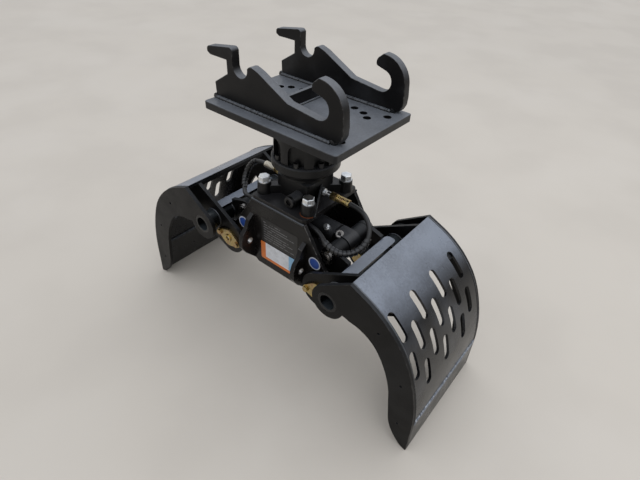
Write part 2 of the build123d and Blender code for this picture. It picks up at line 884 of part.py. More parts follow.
def make_rotator_drum():
    """Cast upper housing: bolting flange below, and arched pockets between ribs above it."""
    neck_x = drum_foot_r + drum_neck[0]
    bevel_x = ring_flange_r - drum_bevel
    with BuildPart() as drum:
        with BuildSketch(Plane.XZ):
            with BuildLine():
                Polyline(
                    (0, drum_foot_z),
                    (drum_foot_r, drum_foot_z),
                    (neck_x, flange_low_z - drum_neck[1]),
                    (drum_undercut_r, flange_low_z),
                    (bevel_x, flange_low_z),
                    (ring_flange_r, flange_low_z + drum_bevel),
                    (ring_flange_r, flange_high_z - drum_bevel),
                    (bevel_x, flange_high_z),
                    (drum_r, flange_high_z),
                    (drum_r, plate_under_z),
                    (0, plate_under_z),
                    close=True,
                )
            make_face()
        revolve(axis=Axis.Z)
        with BuildSketch(Plane.XY.offset(drum_foot_z)):
            Circle(shaft_r + run_gap)
        extrude(amount=shaft_top_z - drum_foot_z, mode=Mode.SUBTRACT)
        for index in range(pocket_count):
            angle = 360 * (index + 0.5) / pocket_count
            out = (cos(radians(angle)), sin(radians(angle)), 0)
            across = (-out[1], out[0], 0)
            with BuildSketch(Plane(origin=(0, 0, 0), x_dir=across, z_dir=out).offset(drum_r - pocket_depth)):
                with Locations((0, flange_high_z + (pocket_h - pocket_w / 2) / 2)):
                    Rectangle(pocket_w, pocket_h - pocket_w / 2)
                with Locations((0, flange_high_z + pocket_h - pocket_w / 2)):
                    Circle(pocket_w / 2)
            extrude(amount=2 * pocket_depth, mode=Mode.SUBTRACT)
    return drum.part


def make_drum_bolts():
    """Socket-head bolts in the drum's pockets."""
    circle_r = ring_flange_r - drum_bolt_inset
    with BuildPart() as bolts:
        with BuildSketch(Plane.XY.offset(flange_high_z)):
            with PolarLocations(circle_r, pocket_count, start_angle=180 / pocket_count):
                Circle(drum_bolt_r)
        extrude(amount=drum_bolt_h)
        with BuildSketch(Plane.XY.offset(flange_high_z + drum_bolt_h)):
            with PolarLocations(circle_r, pocket_count, start_angle=180 / pocket_count):
                RegularPolygon(drum_socket_af / 2, 6, major_radius=False)
        extrude(amount=-drum_socket_depth, mode=Mode.SUBTRACT)
    return bolts.part


def make_adapter_plate():
    """Top plate with bolt holes round each end."""
    with BuildPart() as plate:
        with BuildSketch(Plane.XY.offset(plate_under_z)):
            RectangleRounded(plate_x, plate_y, plate_corner_r)
            for x, y in hole_rows:
                with GridLocations(2 * x, 2 * y, 2, 2):
                    Circle(plate_hole_r, mode=Mode.SUBTRACT)
            with Locations(end_hole, (end_hole[0], -end_hole[1])):
                Circle(plate_hole_r, mode=Mode.SUBTRACT)
        extrude(amount=plate_t)
        chamfer(plate.faces().sort_by(Axis.Z)[-1].outer_wire().edges(), edge_break)
    return plate.part


def make_hook_plate(y):
    """Pin hanger plate: stop nose and open seat in front, closed hook behind."""
    front = [offset_from(front_pin, step) for step in seat_back]
    under = [offset_from(front_pin, step) for step in nose_under]
    tip = [offset_from(front_pin, step) for step in nose_tip]
    crown = [offset_from(rear_pin, step) for step in hook_crown]
    heel = [offset_from(rear_pin, step) for step in hook_heel]
    point = [offset_from(rear_pin, step) for step in hook_tip]
    seat_low = offset_from(rear_pin, (0, -rear_seat_r))
    seat_mid = on_circle(rear_pin, rear_seat_r, hook_seat_low)
    seat_end = on_circle(rear_pin, rear_seat_r, hook_seat_end)
    seat_left = offset_from(front_pin, (-front_seat_r, 0))
    seat_right = offset_from(front_pin, (front_seat_r, 0))
    mouth = offset_from(seat_left, (0, seat_mouth))
    with BuildPart() as plate:
        with BuildSketch(side_plane(1, y)):
            with BuildLine():
                Polyline(
                    seat_right,
                    offset_from(seat_right, (0, seat_step)),
                    *front,
                    offset_from(seat_low, (hook_floor, 0)),
                    seat_low,
                )
                ThreePointArc(seat_low, seat_mid, seat_end)
                Line(seat_end, point[0])
                ThreePointArc(*point)
                Line(point[2], crown[0])
                ThreePointArc(*crown)
                Polyline(
                    *heel,
                    (rear_pin[0] + hook_foot, plate_top_z),
                    (front_pin[0] + nose_foot, plate_top_z),
                    *under,
                    *tip,
                )
                ThreePointArc(tip[-1], offset_from(front_pin, nose_round), mouth)
                Line(mouth, seat_left)
                ThreePointArc(seat_left, offset_from(front_pin, (0, -front_seat_r)), seat_right)
            make_face()
        extrude(amount=hook_t / 2, both=True)
    return plate.part


def make_hook_cross_bar():
    """Bar between the hook plates."""
    with BuildPart() as bar:
        with BuildSketch(Plane.XY.offset(plate_top_z)):
            with Locations((cross_x, (far_hook_y - near_hook_y) / 2)):
                Rectangle(cross_t, far_hook_y + near_hook_y - hook_t)
        extrude(amount=cross_h)
    return bar.part


def make_cylinder_barrel():
    """Barrel with an eye on the right shell's pin, and port bosses at both ends."""
    back = cylinder_pin_x - barrel_back
    with BuildPart() as barrel:
        with BuildSketch(Plane.YZ.offset(back)):
            with Locations((0, cylinder_pin_z)):
                Circle(barrel_r)
        extrude(amount=-barrel_length)
        with BuildSketch(side_plane(1)):
            with Locations((cylinder_pin_x, cylinder_pin_z)):
                Circle(barrel_eye_r)
            with Locations((cylinder_pin_x - barrel_back / 2, cylinder_pin_z)):
                Rectangle(barrel_back, 2 * barrel_eye_r)
        extrude(amount=eye_w / 2, both=True)
        gland_end = back - barrel_length + gland_length
        for x in (back - barrel_base_t - port_from_base, gland_end + port_from_gland):
            with BuildSketch(Plane.XZ.offset(barrel_r + port_boss_stand)):
                with Locations((x, cylinder_pin_z)):
                    Circle(port_boss_r)
            extrude(amount=-port_boss_depth)
        with BuildSketch(side_plane(1)):
            with Locations((cylinder_pin_x, cylinder_pin_z)):
                Circle(cylinder_pin_r + run_gap)
        extrude(amount=eye_w, both=True, mode=Mode.SUBTRACT)
        with BuildSketch(Plane.YZ.offset(back - barrel_base_t)):
            with Locations((0, cylinder_pin_z)):
                Circle(barrel_bore_r)
        extrude(amount=-barrel_length, mode=Mode.SUBTRACT)
    return barrel.part


def make_cylinder_gland():
    """Screwed gland that guides the rod."""
    face = cylinder_pin_x - barrel_back - barrel_length
    with BuildPart() as gland:
        with BuildSketch(Plane.YZ.offset(face)):
            with Locations((0, cylinder_pin_z)):
                Circle(barrel_bore_r - weld_gap)
        extrude(amount=gland_length)
        with BuildSketch(Plane.YZ.offset(face)):
            with Locations((0, cylinder_pin_z)):
                Circle(barrel_r - gland_step)
        extrude(amount=-gland_lip)
        chamfer(gland.faces().sort_by(Axis.X)[0].edges(), edge_break)
        with BuildSketch(Plane.YZ.offset(face - gland_lip)):
            with Locations((0, cylinder_pin_z)):
                Circle(rod_r + run_gap)
        extrude(amount=gland_length + gland_lip, mode=Mode.SUBTRACT)
    return gland.part


def make_cylinder_rod():
    """Chromed rod with its eye on the left shell's pin."""
    start = cylinder_pin_x - barrel_back - barrel_base_t - piston_gap
    with BuildPart() as rod:
        with BuildSketch(Plane.YZ.offset(start)):
            with Locations((0, cylinder_pin_z)):
                Circle(rod_r)
        extrude(amount=rod_eye_r / 2 - cylinder_pin_x - start)
        with BuildSketch(side_plane(1)):
            with Locations((-cylinder_pin_x, cylinder_pin_z)):
                Circle(rod_eye_r)
        extrude(amount=eye_w / 2, both=True)
        with BuildSketch(side_plane(1)):
            with Locations((-cylinder_pin_x, cylinder_pin_z)):
                Circle(cylinder_pin_r + run_gap)
        extrude(amount=eye_w, both=True, mode=Mode.SUBTRACT)
    return rod.part


def make_piston():
    start = cylinder_pin_x - barrel_back - barrel_base_t - piston_gap
    with BuildPart() as piston:
        with BuildSketch(Plane.YZ.offset(start)):
            with Locations((0, cylinder_pin_z)):
                Circle(barrel_bore_r - run_gap)
                Circle(rod_r + weld_gap, mode=Mode.SUBTRACT)
        extrude(amount=-piston_t)
    return piston.part


def make_sync_link():
    """Tie rod from above the left pivot to below the right one."""
    left = (-link_pin_high[0], link_pin_high[1])
    play = link_arm * (1 - sin(radians(link_arm_angle))) + close_gap
    right = offset_from(link_pin_low, (0, -play))
    slot = 2 * (link_pin_r + run_gap)
    middle = (left[0] + right[0]) / 2, (left[1] + right[1]) / 2
    slope = degrees(atan2(right[1] - left[1], right[0] - left[0]))
    with BuildPart() as link:
        with BuildSketch(side_plane(1, -link_y)):
            with Locations(left):
                Circle(slot / 2 + link_wall)
            with Locations(Location(right, 90)):
                SlotOverall(slot + 2 * play + 2 * link_wall, slot + 2 * link_wall)
            with Locations(Location(middle, slope)):
                Rectangle(hypot(right[0] - left[0], right[1] - left[1]), link_w)
            with Locations(left):
                Circle(slot / 2, mode=Mode.SUBTRACT)
            with Locations(Location(right, 90)):
                SlotOverall(slot + 2 * play, slot, mode=Mode.SUBTRACT)
        extrude(amount=link_t / 2, both=True)
    return link.part


def make_manifold():
    """Valve block under the deck plate, above the cylinder."""
    with BuildPart() as block:
        with BuildSketch(Plane.XY.offset(frame_top_z)):
            Rectangle(block_length, 2 * (frame_inner - block_room))
        extrude(amount=-block_height)
        chamfer(block.faces().sort_by(Axis.Z)[0].edges(), edge_break)
    return block.part


def make_block_fittings():
    """Hexagon unions where the hoses enter the valve block."""
    with BuildPart() as fittings:
        for side in (-1, 1):
            port = (side * block_length / 2, hose_port_y, block_port_z)
            face = Plane(origin=port, z_dir=(side, 0, 0))
            with BuildSketch(face):
                RegularPolygon(fitting_r, 6, major_radius=False)
            extrude(amount=block_union)
            with BuildSketch(face.offset(block_union)):
                Circle(ferrule_r)
            extrude(amount=ferrule_length - block_union)
    return fittings.part


def make_swivel_fittings():
    """Unions and crimped ferrules of the hoses at the rotator."""
    with BuildPart() as fittings:
        for side in (-1, 1):
            face = Plane(origin=(side * block_half, 0, port_z), z_dir=(side, 0, 0))
            with BuildSketch(face):
                RegularPolygon(fitting_r, 6, major_radius=False)
            extrude(amount=swivel_union)
            with BuildSketch(face.offset(swivel_union)):
                Circle(swivel_neck_r)
            extrude(amount=swivel_neck)
            with BuildSketch(face.offset(swivel_union + swivel_neck)):
                RegularPolygon(swivel_nut_r, 6, major_radius=False)
            extrude(amount=swivel_nut)
            with BuildSketch(face.offset(swivel_union + swivel_neck + swivel_nut)):
                Circle(ferrule_r)
            extrude(amount=swivel_ferrule)
    return fittings.part


def make_hose(route, name):
    """Hose along straight runs joined by tangent arcs."""
    runs = [Vector(*b) - Vector(*a) for a, b in zip(route, route[1:])]
    radii = []
    for before, after in zip(runs, runs[1:]):
        turn = radians(before.get_angle(after))
        radii.append(0.45 * min(before.length, after.length) / tan(turn / 2))
    print(name, "bend radii", [round(r) for r in radii], "in diameters", round(min(radii) / hose_r / 2, 1))
    with BuildPart() as hose:
        with BuildLine() as path:
            FilletPolyline(*route, radius=radii)
        with BuildSketch(Plane(origin=route[0], z_dir=path.line % 0)):
            Circle(hose_r)
        sweep()
    length = path.wires()[0].length
    section = pi * hose_r**2
    print(name, "length", round(length), "volume ratio", round(hose.part.volume / (section * length), 4))
    return hose.part


swivel_exit = block_half + swivel_union + swivel_neck + swivel_nut + swivel_ferrule
block_exit = block_length / 2 + ferrule_length
right_route = (
    (swivel_exit, 0, port_z),
    (193, 0, 556),
    (225, -8, 547),
    (249, -21, 526),
    (260, -44, 501),
    (252, -71, 480),
    (228, -94, 468),
    (196, -106, 469),
    (162, -104, 480),
    (135, -89, 486),
    (105, -86, 494),
    (block_exit, hose_port_y, block_port_z),
)
left_route = (
    (-swivel_exit, 0, port_z),
    (-193, 0, 556),
    (-219, -4, 540),
    (-232, -14, 514),
    (-229, -31, 488),
    (-212, -51, 471),
    (-188, -70, 467),
    (-159, -77, 472),
    (-133, -87, 485),
    (-104, -86, 494),
    (-block_exit, hose_port_y, block_port_z),
)

sides = {"left": -1, "right": 1}
for word, side in sides.items():
    save(make_side_plate(side, side_t / 2 - half_width), f"{word}_shell_side_front")
    save(make_side_plate(side, half_width - side_t / 2), f"{word}_shell_side_rear")
    save(make_sheet(side), f"{word}_shell_sheet")
    save(make_cutting_edge(side), f"{word}_cutting_edge")
    save(make_top_stiffener(side), f"{word}_sheet_stiffener")
    save(make_ribs(side), f"{word}_shell_ribs")
    save(make_cross_tube(side), f"{word}_cross_tube")
    save(make_boss_rings(side), f"{word}_boss_rings")
    save(make_tube_strap(side), f"{word}_tube_strap")
    save(make_pivot_hub(side), f"{word}_pivot_hub")
    save(make_arms(side), f"{word}_inner_arms")
    save(make_arm_bosses(side), f"{word}_arm_bosses")
    save(make_cylinder_pin(side), f"{word}_cylinder_pin")
    save(make_link_pin(side), f"{word}_link_pin")
    save(make_pivot_pins(side), f"{word}_pivot_pins")
    save(make_flange_bolts(side), f"{word}_flange_bolts")

save(make_frame_side(frame_t / 2 - frame_half), "frame_side_front")
save(make_frame_side(frame_half - frame_t / 2), "frame_side_rear")
save(make_frame_top(), "frame_deck_plate")
save(make_frame_bottom(), "frame_floor_plate")
save(make_lashing_eyes(), "lashing_eyes")
save(make_pivot_bushes(), "pivot_bushes")
save(make_rotator_base(), "rotator_base")
save(make_swivel_plug(), "swivel_plug")
save(make_rotator_bolts(), "rotator_bolts")
save(make_thrust_ring(), "thrust_ring")
save(make_manifold(), "valve_block")
save(make_block_fittings(), "block_fittings")
save(make_swivel_fittings(), "swivel_fittings")
save(make_hose(right_route, "right_hose"), "right_hose")
save(make_hose(left_route, "left_hose"), "left_hose")

save(make_rotator_shaft(), "rotator_shaft")
save(make_rotator_drum(), "rotator_drum")
save(make_drum_bolts(), "drum_bolts")
save(make_adapter_plate(), "adapter_plate")
save(make_hook_plate(-near_hook_y), "hook_plate_front")
save(make_hook_plate(far_hook_y), "hook_plate_rear")
save(make_hook_cross_bar(), "hook_cross_bar")

save(make_cylinder_barrel(), "cylinder_barrel")
save(make_cylinder_gland(), "cylinder_gland")
save(make_cylinder_rod(), "cylinder_rod")
save(make_piston(), "piston")
save(make_sync_link(), "sync_link")
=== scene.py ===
import json
import random
from math import cos, radians, sin, sqrt, tau

import bmesh
import bpy
from mathutils import Matrix, Vector

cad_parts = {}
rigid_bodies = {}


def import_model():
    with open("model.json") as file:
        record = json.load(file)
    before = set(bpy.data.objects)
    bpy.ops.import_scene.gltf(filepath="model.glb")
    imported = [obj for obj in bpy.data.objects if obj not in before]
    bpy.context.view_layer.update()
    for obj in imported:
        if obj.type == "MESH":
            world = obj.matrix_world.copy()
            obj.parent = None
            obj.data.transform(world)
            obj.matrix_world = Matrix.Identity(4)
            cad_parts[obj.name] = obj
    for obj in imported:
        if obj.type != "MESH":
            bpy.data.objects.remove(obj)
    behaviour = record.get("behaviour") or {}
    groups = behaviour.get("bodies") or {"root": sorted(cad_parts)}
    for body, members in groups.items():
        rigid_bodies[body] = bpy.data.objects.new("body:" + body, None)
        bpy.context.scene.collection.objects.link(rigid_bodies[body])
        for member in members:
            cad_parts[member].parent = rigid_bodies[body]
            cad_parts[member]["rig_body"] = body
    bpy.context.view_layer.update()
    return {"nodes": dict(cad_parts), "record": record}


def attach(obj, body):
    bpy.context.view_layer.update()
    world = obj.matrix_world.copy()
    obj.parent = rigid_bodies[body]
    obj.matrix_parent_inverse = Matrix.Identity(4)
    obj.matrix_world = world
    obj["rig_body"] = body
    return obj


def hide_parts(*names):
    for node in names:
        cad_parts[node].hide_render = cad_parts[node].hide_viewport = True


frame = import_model()
scene = bpy.context.scene
scene.view_settings.view_transform = "Standard"

SIDES = ((1, "right"), (-1, "left"))
ENDS = ((-1, "front"), (1, "rear"))

# Camera
PHOTO_WIDTH = 640
FOCAL_PX = 455.15
SENSOR_MM = 36.0
CAMERA_PLACE = (0.737, -0.878, 1.263)
CAMERA_AZIMUTH = 37.4
CAMERA_ELEVATION = 38.75
CAMERA_ROLL = 3.293

# Sky, lamp and floor
HORIZON = (0.325, 0.320, 0.315)
ZENITH = (1.33, 1.36, 1.42)
LAMP_SIZE = (3.4, 2.6)
LAMP_POWER = 14
LAMP_TONE = (0.98, 0.99, 1.0)
LAMP_PLACE = (0.9, 0.9, 2.8)
LAMP_AIM = (0, 0, 0.3)
FLOOR_HALF = 20

# Hoses: control points of the two swivel hoses, and where the guards start and end along them
HOSE_DIAMETER = 0.014
RIGHT_HOSE = (
    (0.162, 0, 0.556), (0.193, 0, 0.556), (0.225, -0.008, 0.547), (0.249, -0.021, 0.526),
    (0.260, -0.044, 0.501), (0.252, -0.071, 0.480), (0.228, -0.094, 0.468), (0.196, -0.106, 0.469),
    (0.162, -0.104, 0.480), (0.135, -0.089, 0.486), (0.105, -0.086, 0.494), (0.074, -0.086, 0.494),
)
LEFT_HOSE = (
    (-0.162, 0, 0.556), (-0.193, 0, 0.556), (-0.219, -0.004, 0.540), (-0.232, -0.014, 0.514),
    (-0.229, -0.031, 0.488), (-0.212, -0.051, 0.471), (-0.188, -0.070, 0.467), (-0.159, -0.077, 0.472),
    (-0.133, -0.087, 0.485), (-0.104, -0.086, 0.494), (-0.074, -0.086, 0.494),
)
RIGHT_GUARD_RUN = (0.125, 0.272)
LEFT_GUARD_RUN = (0.040, 0.150)
GUARD_RADIUS = 0.0098
GUARD_SINK = 0.0004
GUARD_HALF_WIDTH = 0.0043
GUARD_PITCH = 0.012
GUARD_TURN_STEPS = 16
STRIP_CORNERS = ((-1, 0), (1, 0), (1, 1), (-1, 1))

# Swivel ends: hexagons are (across flats, low, high), turned outlines are (radius, height) stations, and
# heights run out from the swivel's axis
SWIVEL = (0, 0, 0.556)
UNION_HEX = (0.0208, 0.060, 0.074)
NUT_HEX = (0.0216, 0.098, 0.118)
UNION_NECK = (
    (0, 0.073), (0.008, 0.073), (0.008, 0.0765), (0.0072, 0.0775), (0.008, 0.0785), (0.008, 0.082),
    (0.0072, 0.083), (0.008, 0.084), (0.008, 0.098), (0, 0.098),
)
NUT_FACE = ((0, 0.0970), (0.0098, 0.0970), (0.0098, 0.0985), (0, 0.0985))
FERRULE_ROOT = ((0, 0.1175), (0.0082, 0.1175), (0.0082, 0.1205), (0.0105, 0.1212))
FERRULE_MOUTH = ((0.0105, 0.1608), (0.0098, 0.1620), (0, 0.1620))
CRIMP = ((0.0105, 0), (0.0094, 0.0009), (0.0094, 0.0030), (0.0105, 0.0039))
CRIMP_COUNT = 6
CRIMP_FIRST = 0.1225
CRIMP_PITCH = 0.0056

# Edges and welds
HOOK_BREAK = 0.0022
PLATE_BREAK = 0.0012
PART_BREAK = 0.0007
SHARP_ANGLE = 28.0
SMOOTH_ANGLE = 32.0
FLAT_ANGLE = 0.6
CUT_WALL_FACING = 0.8
WELD_STEP = 0.0032
BEAD_SIDES = 8
BEAD_RIPPLE = (0.91, 1.03)
BEAD_UNEVEN = (0.93, 1.06)
BEAD_DRIFT = 0.06
BEAD_TAPER = 0.6
RING_STEPS = 36
SEAM_DEPTH = 0.0012
BLADE_WELD_HALF = 0.186
BLADE_WELD_DEPTH = 0.0012
BLADE_WELD_RISES = (-0.0046, 0.0002, 0.0050)
BLADE_ROOT_HALF = 0.187
BLADE_ROOT_DEPTH = 0.0085

# Sheet profile of a shell, as bent
SHEET_CORNER = (0.318, 0.492)
TOP_SLOPE = 23.0
TOP_FLAT = 0.045
BENDS = ((0.300, 44.0), (0.560, 20.5))
SHEET_RUN = 0.4757
SHEET_STEP = 0.006

# Places that the pieces of the scene share with the solids
SIDE_INNER = 0.188
RIB_FACES = (0.138, 0.150)
ARM_FACES = (0.074, 0.088)
TUBE_FACES = (*ARM_FACES, *RIB_FACES, SIDE_INNER)
TUBE = (0.253, 0.385)
TUBE_WELD_RADIUS = 0.0308
PIVOT = (0.183, 0.343)
FRAME_FACE = 0.122
DECK_TOP = 0.530
DECK_WELD = (0.102, 0.5155)
PLATE_TOP = 0.787
HOOK_FACES = (-0.122, -0.097, 0.1305, 0.1555)
HOOK_FOOT = (-0.215, 0.175)
BAR_FACES = (-0.033, -0.022)
BAR_ENDS = (-0.097, 0.1305)
BAR_TOP = 0.822
SPACER = (0.084, -0.085)
SPACER_FOOT_RADIUS = 0.0222
EYE = (0.105, 0.142, 0.369)
CYLINDER_Z = 0.427
BARREL_SKIN = 0.0375
PORT_FACE = 0.0430
PORTS = (("barrel_end_plug", 0.102), ("gland_end_plug", -0.066))

# Casting web: its upper and lower corners, and the upright edge inside the casting
WEB_HIGH = Vector((0.066, -0.014, 0.574))
WEB_LOW = Vector((0.106, -0.088, 0.531))
WEB_ROOT = (0.050, 0.014)
WEB_THICK = 0.005
WEB_BREAK = 0.0009

# Small parts, with hexagons and turned outlines as above
PIN_RING = (
    (0.0068, -0.001), (0.0068, 0.0032), (0.0076, 0.0040), (0.0118, 0.0040), (0.0130, 0.0028),
    (0.0130, -0.001), (0.0068, -0.001),
)
PIN_RING_Y = 0.158
NIPPLE_Y = 0.148
NIPPLE_HEX = (0.0070, 0, 0.004)
NIPPLE = (
    (0, 0.0038), (0.0022, 0.0038), (0.0018, 0.0065), (0.0028, 0.0080), (0.0030, 0.0092),
    (0.0022, 0.0106), (0.0010, 0.0110), (0, 0.0110),
)
EYE_SLEEVE = ((0.0098, -0.0070), (0.0110, -0.0074), (0.0110, 0.0074), (0.0098, 0.0070), (0.0098, -0.0070))
PLUG_HEX = (0.0140, -0.002, 0.0040)
PLUG_WASHER = ((0, -0.001), (0.0092, -0.001), (0.0092, 0.0006), (0.0084, 0.0012), (0, 0.0012))
TOP_PLUG_X = 0.108
TOP_PLUG_AXIS = Vector((0, -0.58, 0.815)).normalized()
TOP_PLUG_HEX = (0.0190, -0.003, 0.010)
TOP_PLUG_NECK = (
    (0, 0.009), (0.0072, 0.009), (0.0072, 0.0105), (0.0064, 0.0115), (0.0072, 0.0125),
    (0.0072, 0.0170), (0.0062, 0.0180), (0, 0.0180),
)
RING_PLUG_PLACE = (0.150, -0.0155, 0.4515)
RING_PLUG_AXIS = Vector((0.1, -0.62, 0.78)).normalized()
RING_PLUG = (
    (0, 0.003), (0.0052, 0.003), (0.0056, 0.0078), (0.0062, 0.0085), (0.0108, 0.0085),
    (0.0118, 0.0075), (0.0118, -0.004), (0, -0.004),
)
TAG = (0.144, 0.405)
TAG_RADIUS = 0.021
TAG_RIM = 0.0036
TAG_THICK = 0.0004
TAG_SINK = 0.0002

# Data plate and label on the front side plate: corners as (x, z), and the printed area
DATA_PLATE = ((-0.065, 0.380), (0.080, 0.465))
DATA_AREA = (-0.056, 0.071, 0.3870, 0.4576)
DATA_ROW = 0.0088
LABEL = ((-0.070, 0.308), (0.085, 0.375))
LABEL_FOOT = 0.3185
LABEL_THICK = 0.0006
PRINT_BLUR = 0.0004
ORANGE = (0.60, 0.155, 0.020)
PALE_GREY = (0.62, 0.64, 0.68)
LIGHT_BLUE = (0.24, 0.46, 0.68)


def vector_mix(a, b, share):
    """Colour a share of the way from a to b."""
    return tuple(x + (y - x) * share for x, y in zip(a, b))


def make_camera():
    """Camera that stands, looks and leans as the photographer's did."""
    data = bpy.data.cameras.new("camera")
    data.sensor_width = SENSOR_MM
    data.lens = SENSOR_MM * FOCAL_PX / PHOTO_WIDTH
    data.clip_end = 100
    camera = bpy.data.objects.new("camera", data)
    scene.collection.objects.link(camera)
    azimuth, elevation = radians(CAMERA_AZIMUTH), radians(CAMERA_ELEVATION)
    look = Vector((-sin(azimuth) * cos(elevation), cos(azimuth) * cos(elevation), -sin(elevation)))
    level = look.cross(Vector((0, 0, 1))).normalized()
    right = Matrix.Rotation(-radians(CAMERA_ROLL), 3, look) @ level
    turn = Matrix((right, right.cross(look), -look)).transposed()
    camera.matrix_world = Matrix.Translation(CAMERA_PLACE) @ turn.to_4x4()
    scene.camera = camera


make_camera()


# Shader nodes
class Net:
    """Short hand for adding nodes to one tree."""

    def __init__(self, tree):
        self.tree = tree

    def feed(self, socket, value):
        """Link a socket to this one, or set its value; colours come as three numbers."""
        if isinstance(value, bpy.types.NodeSocket):
            self.tree.links.new(value, socket)
        elif socket.type == "RGBA":
            socket.default_value = (*value, 1)
        else:
            socket.default_value = value

    def add(self, kind, settings=None, **inputs):
        """New node with settings and inputs by name; gives its outputs."""
        node = self.tree.nodes.new(kind)
        for name, value in (settings or {}).items():
            setattr(node, name, value)
        for name, value in inputs.items():
            self.feed(node.inputs[name.replace("_", " ")], value)
        return node.outputs

    def group(self, tree, **inputs):
        return self.add("ShaderNodeGroup", {"node_tree": tree}, **inputs)

    def maths(self, operation, *values):
        node = self.tree.nodes.new("ShaderNodeMath")
        node.operation = operation
        for socket, value in zip(node.inputs, values):
            self.feed(socket, value)
        return node.outputs[0]

    def times(self, a, b):
        return self.maths("MULTIPLY", a, b)

    def mix(self, share, a, b):
        return self.add("ShaderNodeMix", {"data_type": "RGBA"}, Factor=share, A=a, B=b)["Result"]

    def step(self, value, low, high, to_low=0.0, to_high=1.0):
        """Smooth step of a value from one range to another."""
        return self.add(
            "ShaderNodeMapRange", {"interpolation_type": "SMOOTHSTEP"},
            Value=value, From_Min=low, From_Max=high, To_Min=to_low, To_Max=to_high,
        )["Result"]

    def clamp(self, value):
        return self.add("ShaderNodeClamp", Value=value)["Result"]

    def noise(self, vector, scale, detail=3.0, roughness=0.55):
        found = self.add("ShaderNodeTexNoise", Vector=vector, Scale=scale, Detail=detail, Roughness=roughness)
        return found[0]

    def axes(self, vector):
        return self.add("ShaderNodeSeparateXYZ", Vector=vector)

    def mark(self, name):
        """Value of a mark that the mesh itself carries."""
        return self.add("ShaderNodeAttribute", {"attribute_name": name, "attribute_type": "GEOMETRY"})["Fac"]


FLOAT, COLOR, VECTOR = "NodeSocketFloat", "NodeSocketColor", "NodeSocketVector"
GREY = (0.5, 0.5, 0.5, 1)


def new_group(name, inputs, outputs):
    """Node group with named sockets; gives its net, what goes in and what comes out."""
    tree = bpy.data.node_groups.new(name, "ShaderNodeTree")
    for label, kind in inputs:
        socket = tree.interface.new_socket(name=label, in_out="INPUT", socket_type=kind)
        if kind == COLOR:
            socket.default_value = GREY
    for label, kind in outputs:
        tree.interface.new_socket(name=label, in_out="OUTPUT", socket_type=kind)
    given = tree.nodes.new("NodeGroupInput").outputs
    return Net(tree), given, tree.nodes.new("NodeGroupOutput").inputs


def make_dust_and_sheen_group():
    """Lighter tone on faces that look up: dust and haze, and painted sheen standing in for the sky's
    reflection; broken by smudges and kept off cut walls.
    """
    net, given, result = new_group(
        "up_dust_and_sheen",
        [("Vector", VECTOR), ("Facing", VECTOR), ("Color", COLOR), ("Film", COLOR),
         ("Low", FLOAT), ("High", FLOAT), ("Amount", FLOAT)],
        [("Color", COLOR), ("Mask", FLOAT)],
    )
    up = net.step(net.axes(given["Facing"])["Z"], given["Low"], given["High"])
    broad = net.step(net.noise(given["Vector"], 9.0, 4.0), 0.25, 0.75, 0.72, 1.15)
    fine = net.step(net.noise(given["Vector"], 160.0, 2.0), 0.2, 0.8, 0.85, 1.1)
    held = net.times(given["Amount"], net.maths("SUBTRACT", 1.0, net.mark("cut_wall")))
    mask = net.clamp(net.times(net.times(up, broad), net.times(fine, held)))
    net.feed(result["Color"], net.mix(mask, given["Color"], given["Film"]))
    net.feed(result["Mask"], mask)
    return net.tree


def make_peel_group():
    """Height of sprayed paint, orange peel with a fine grain on it, and its patchy roughness."""
    net, given, result = new_group(
        "paint_peel",
        [("Vector", VECTOR)],
        [("Height", FLOAT), ("Roughness", FLOAT)],
    )
    peel = net.noise(given["Vector"], 210.0, 2.0)
    grain = net.noise(given["Vector"], 900.0, 2.0)
    net.feed(result["Height"], net.maths("ADD", peel, net.times(grain, 0.25)))
    patches = net.noise(given["Vector"], 14.0, 5.0, 0.65)
    net.feed(result["Roughness"], net.step(patches, 0.3, 0.7, -0.05, 0.09))
    return net.tree


def make_wear_and_highlight_group():
    """Edges lightened where the piece's own edge mark says so: worn paint, and a painted edge highlight."""
    net, given, result = new_group(
        "edge_wear_and_highlight",
        [("Vector", VECTOR), ("Color", COLOR), ("Bare", COLOR), ("Amount", FLOAT)],
        [("Color", COLOR)],
    )
    patches = net.step(net.noise(given["Vector"], 60.0, 5.0, 0.7), 0.42, 0.68)
    mask = net.times(net.times(net.mark("wear_and_highlight"), patches), given["Amount"])
    net.feed(result["Color"], net.mix(mask, given["Color"], given["Bare"]))
    return net.tree


def make_cut_group():
    """Drag lines of flame-cut plate edges, which run square to the plate along Y."""
    net, given, result = new_group("cut_edge", [("Vector", VECTOR), ("Facing", VECTOR)], [("Height", FLOAT)])
    squeezed = net.add("ShaderNodeMapping", Vector=given["Vector"], Scale=(1.0, 0.03, 1.0))["Vector"]
    side = net.maths("ABSOLUTE", net.axes(given["Facing"])["Y"])
    net.feed(result["Height"], net.times(net.noise(squeezed, 420.0), net.step(side, 0.25, 0.6, 1.0, 0.0)))
    return net.tree


def make_cloud_group():
    """Slow colour change between three tones, for plated and cast metal."""
    net, given, result = new_group(
        "plating_cloud",
        [("Vector", VECTOR), ("Scale", FLOAT), ("A", COLOR), ("B", COLOR), ("C", COLOR)],
        [("Color", COLOR), ("Value", FLOAT)],
    )
    shifted = net.add("ShaderNodeMapping", Vector=given["Vector"], Location=(0.31, 0.17, 0.53))["Vector"]
    one = net.noise(given["Vector"], given["Scale"], 3.0, 0.5)
    two = net.noise(shifted, given["Scale"], 5.0, 0.5)
    first = net.mix(net.step(one, 0.38, 0.62), given["A"], given["B"])
    net.feed(result["Color"], net.mix(net.step(two, 0.45, 0.7), first, given["C"]))
    net.feed(result["Value"], one)
    return net.tree


UP_DUST_AND_SHEEN = make_dust_and_sheen_group()
PAINT_PEEL = make_peel_group()
EDGE_WEAR_AND_HIGHLIGHT = make_wear_and_highlight_group()
CUT_EDGE = make_cut_group()
PLATING_CLOUD = make_cloud_group()


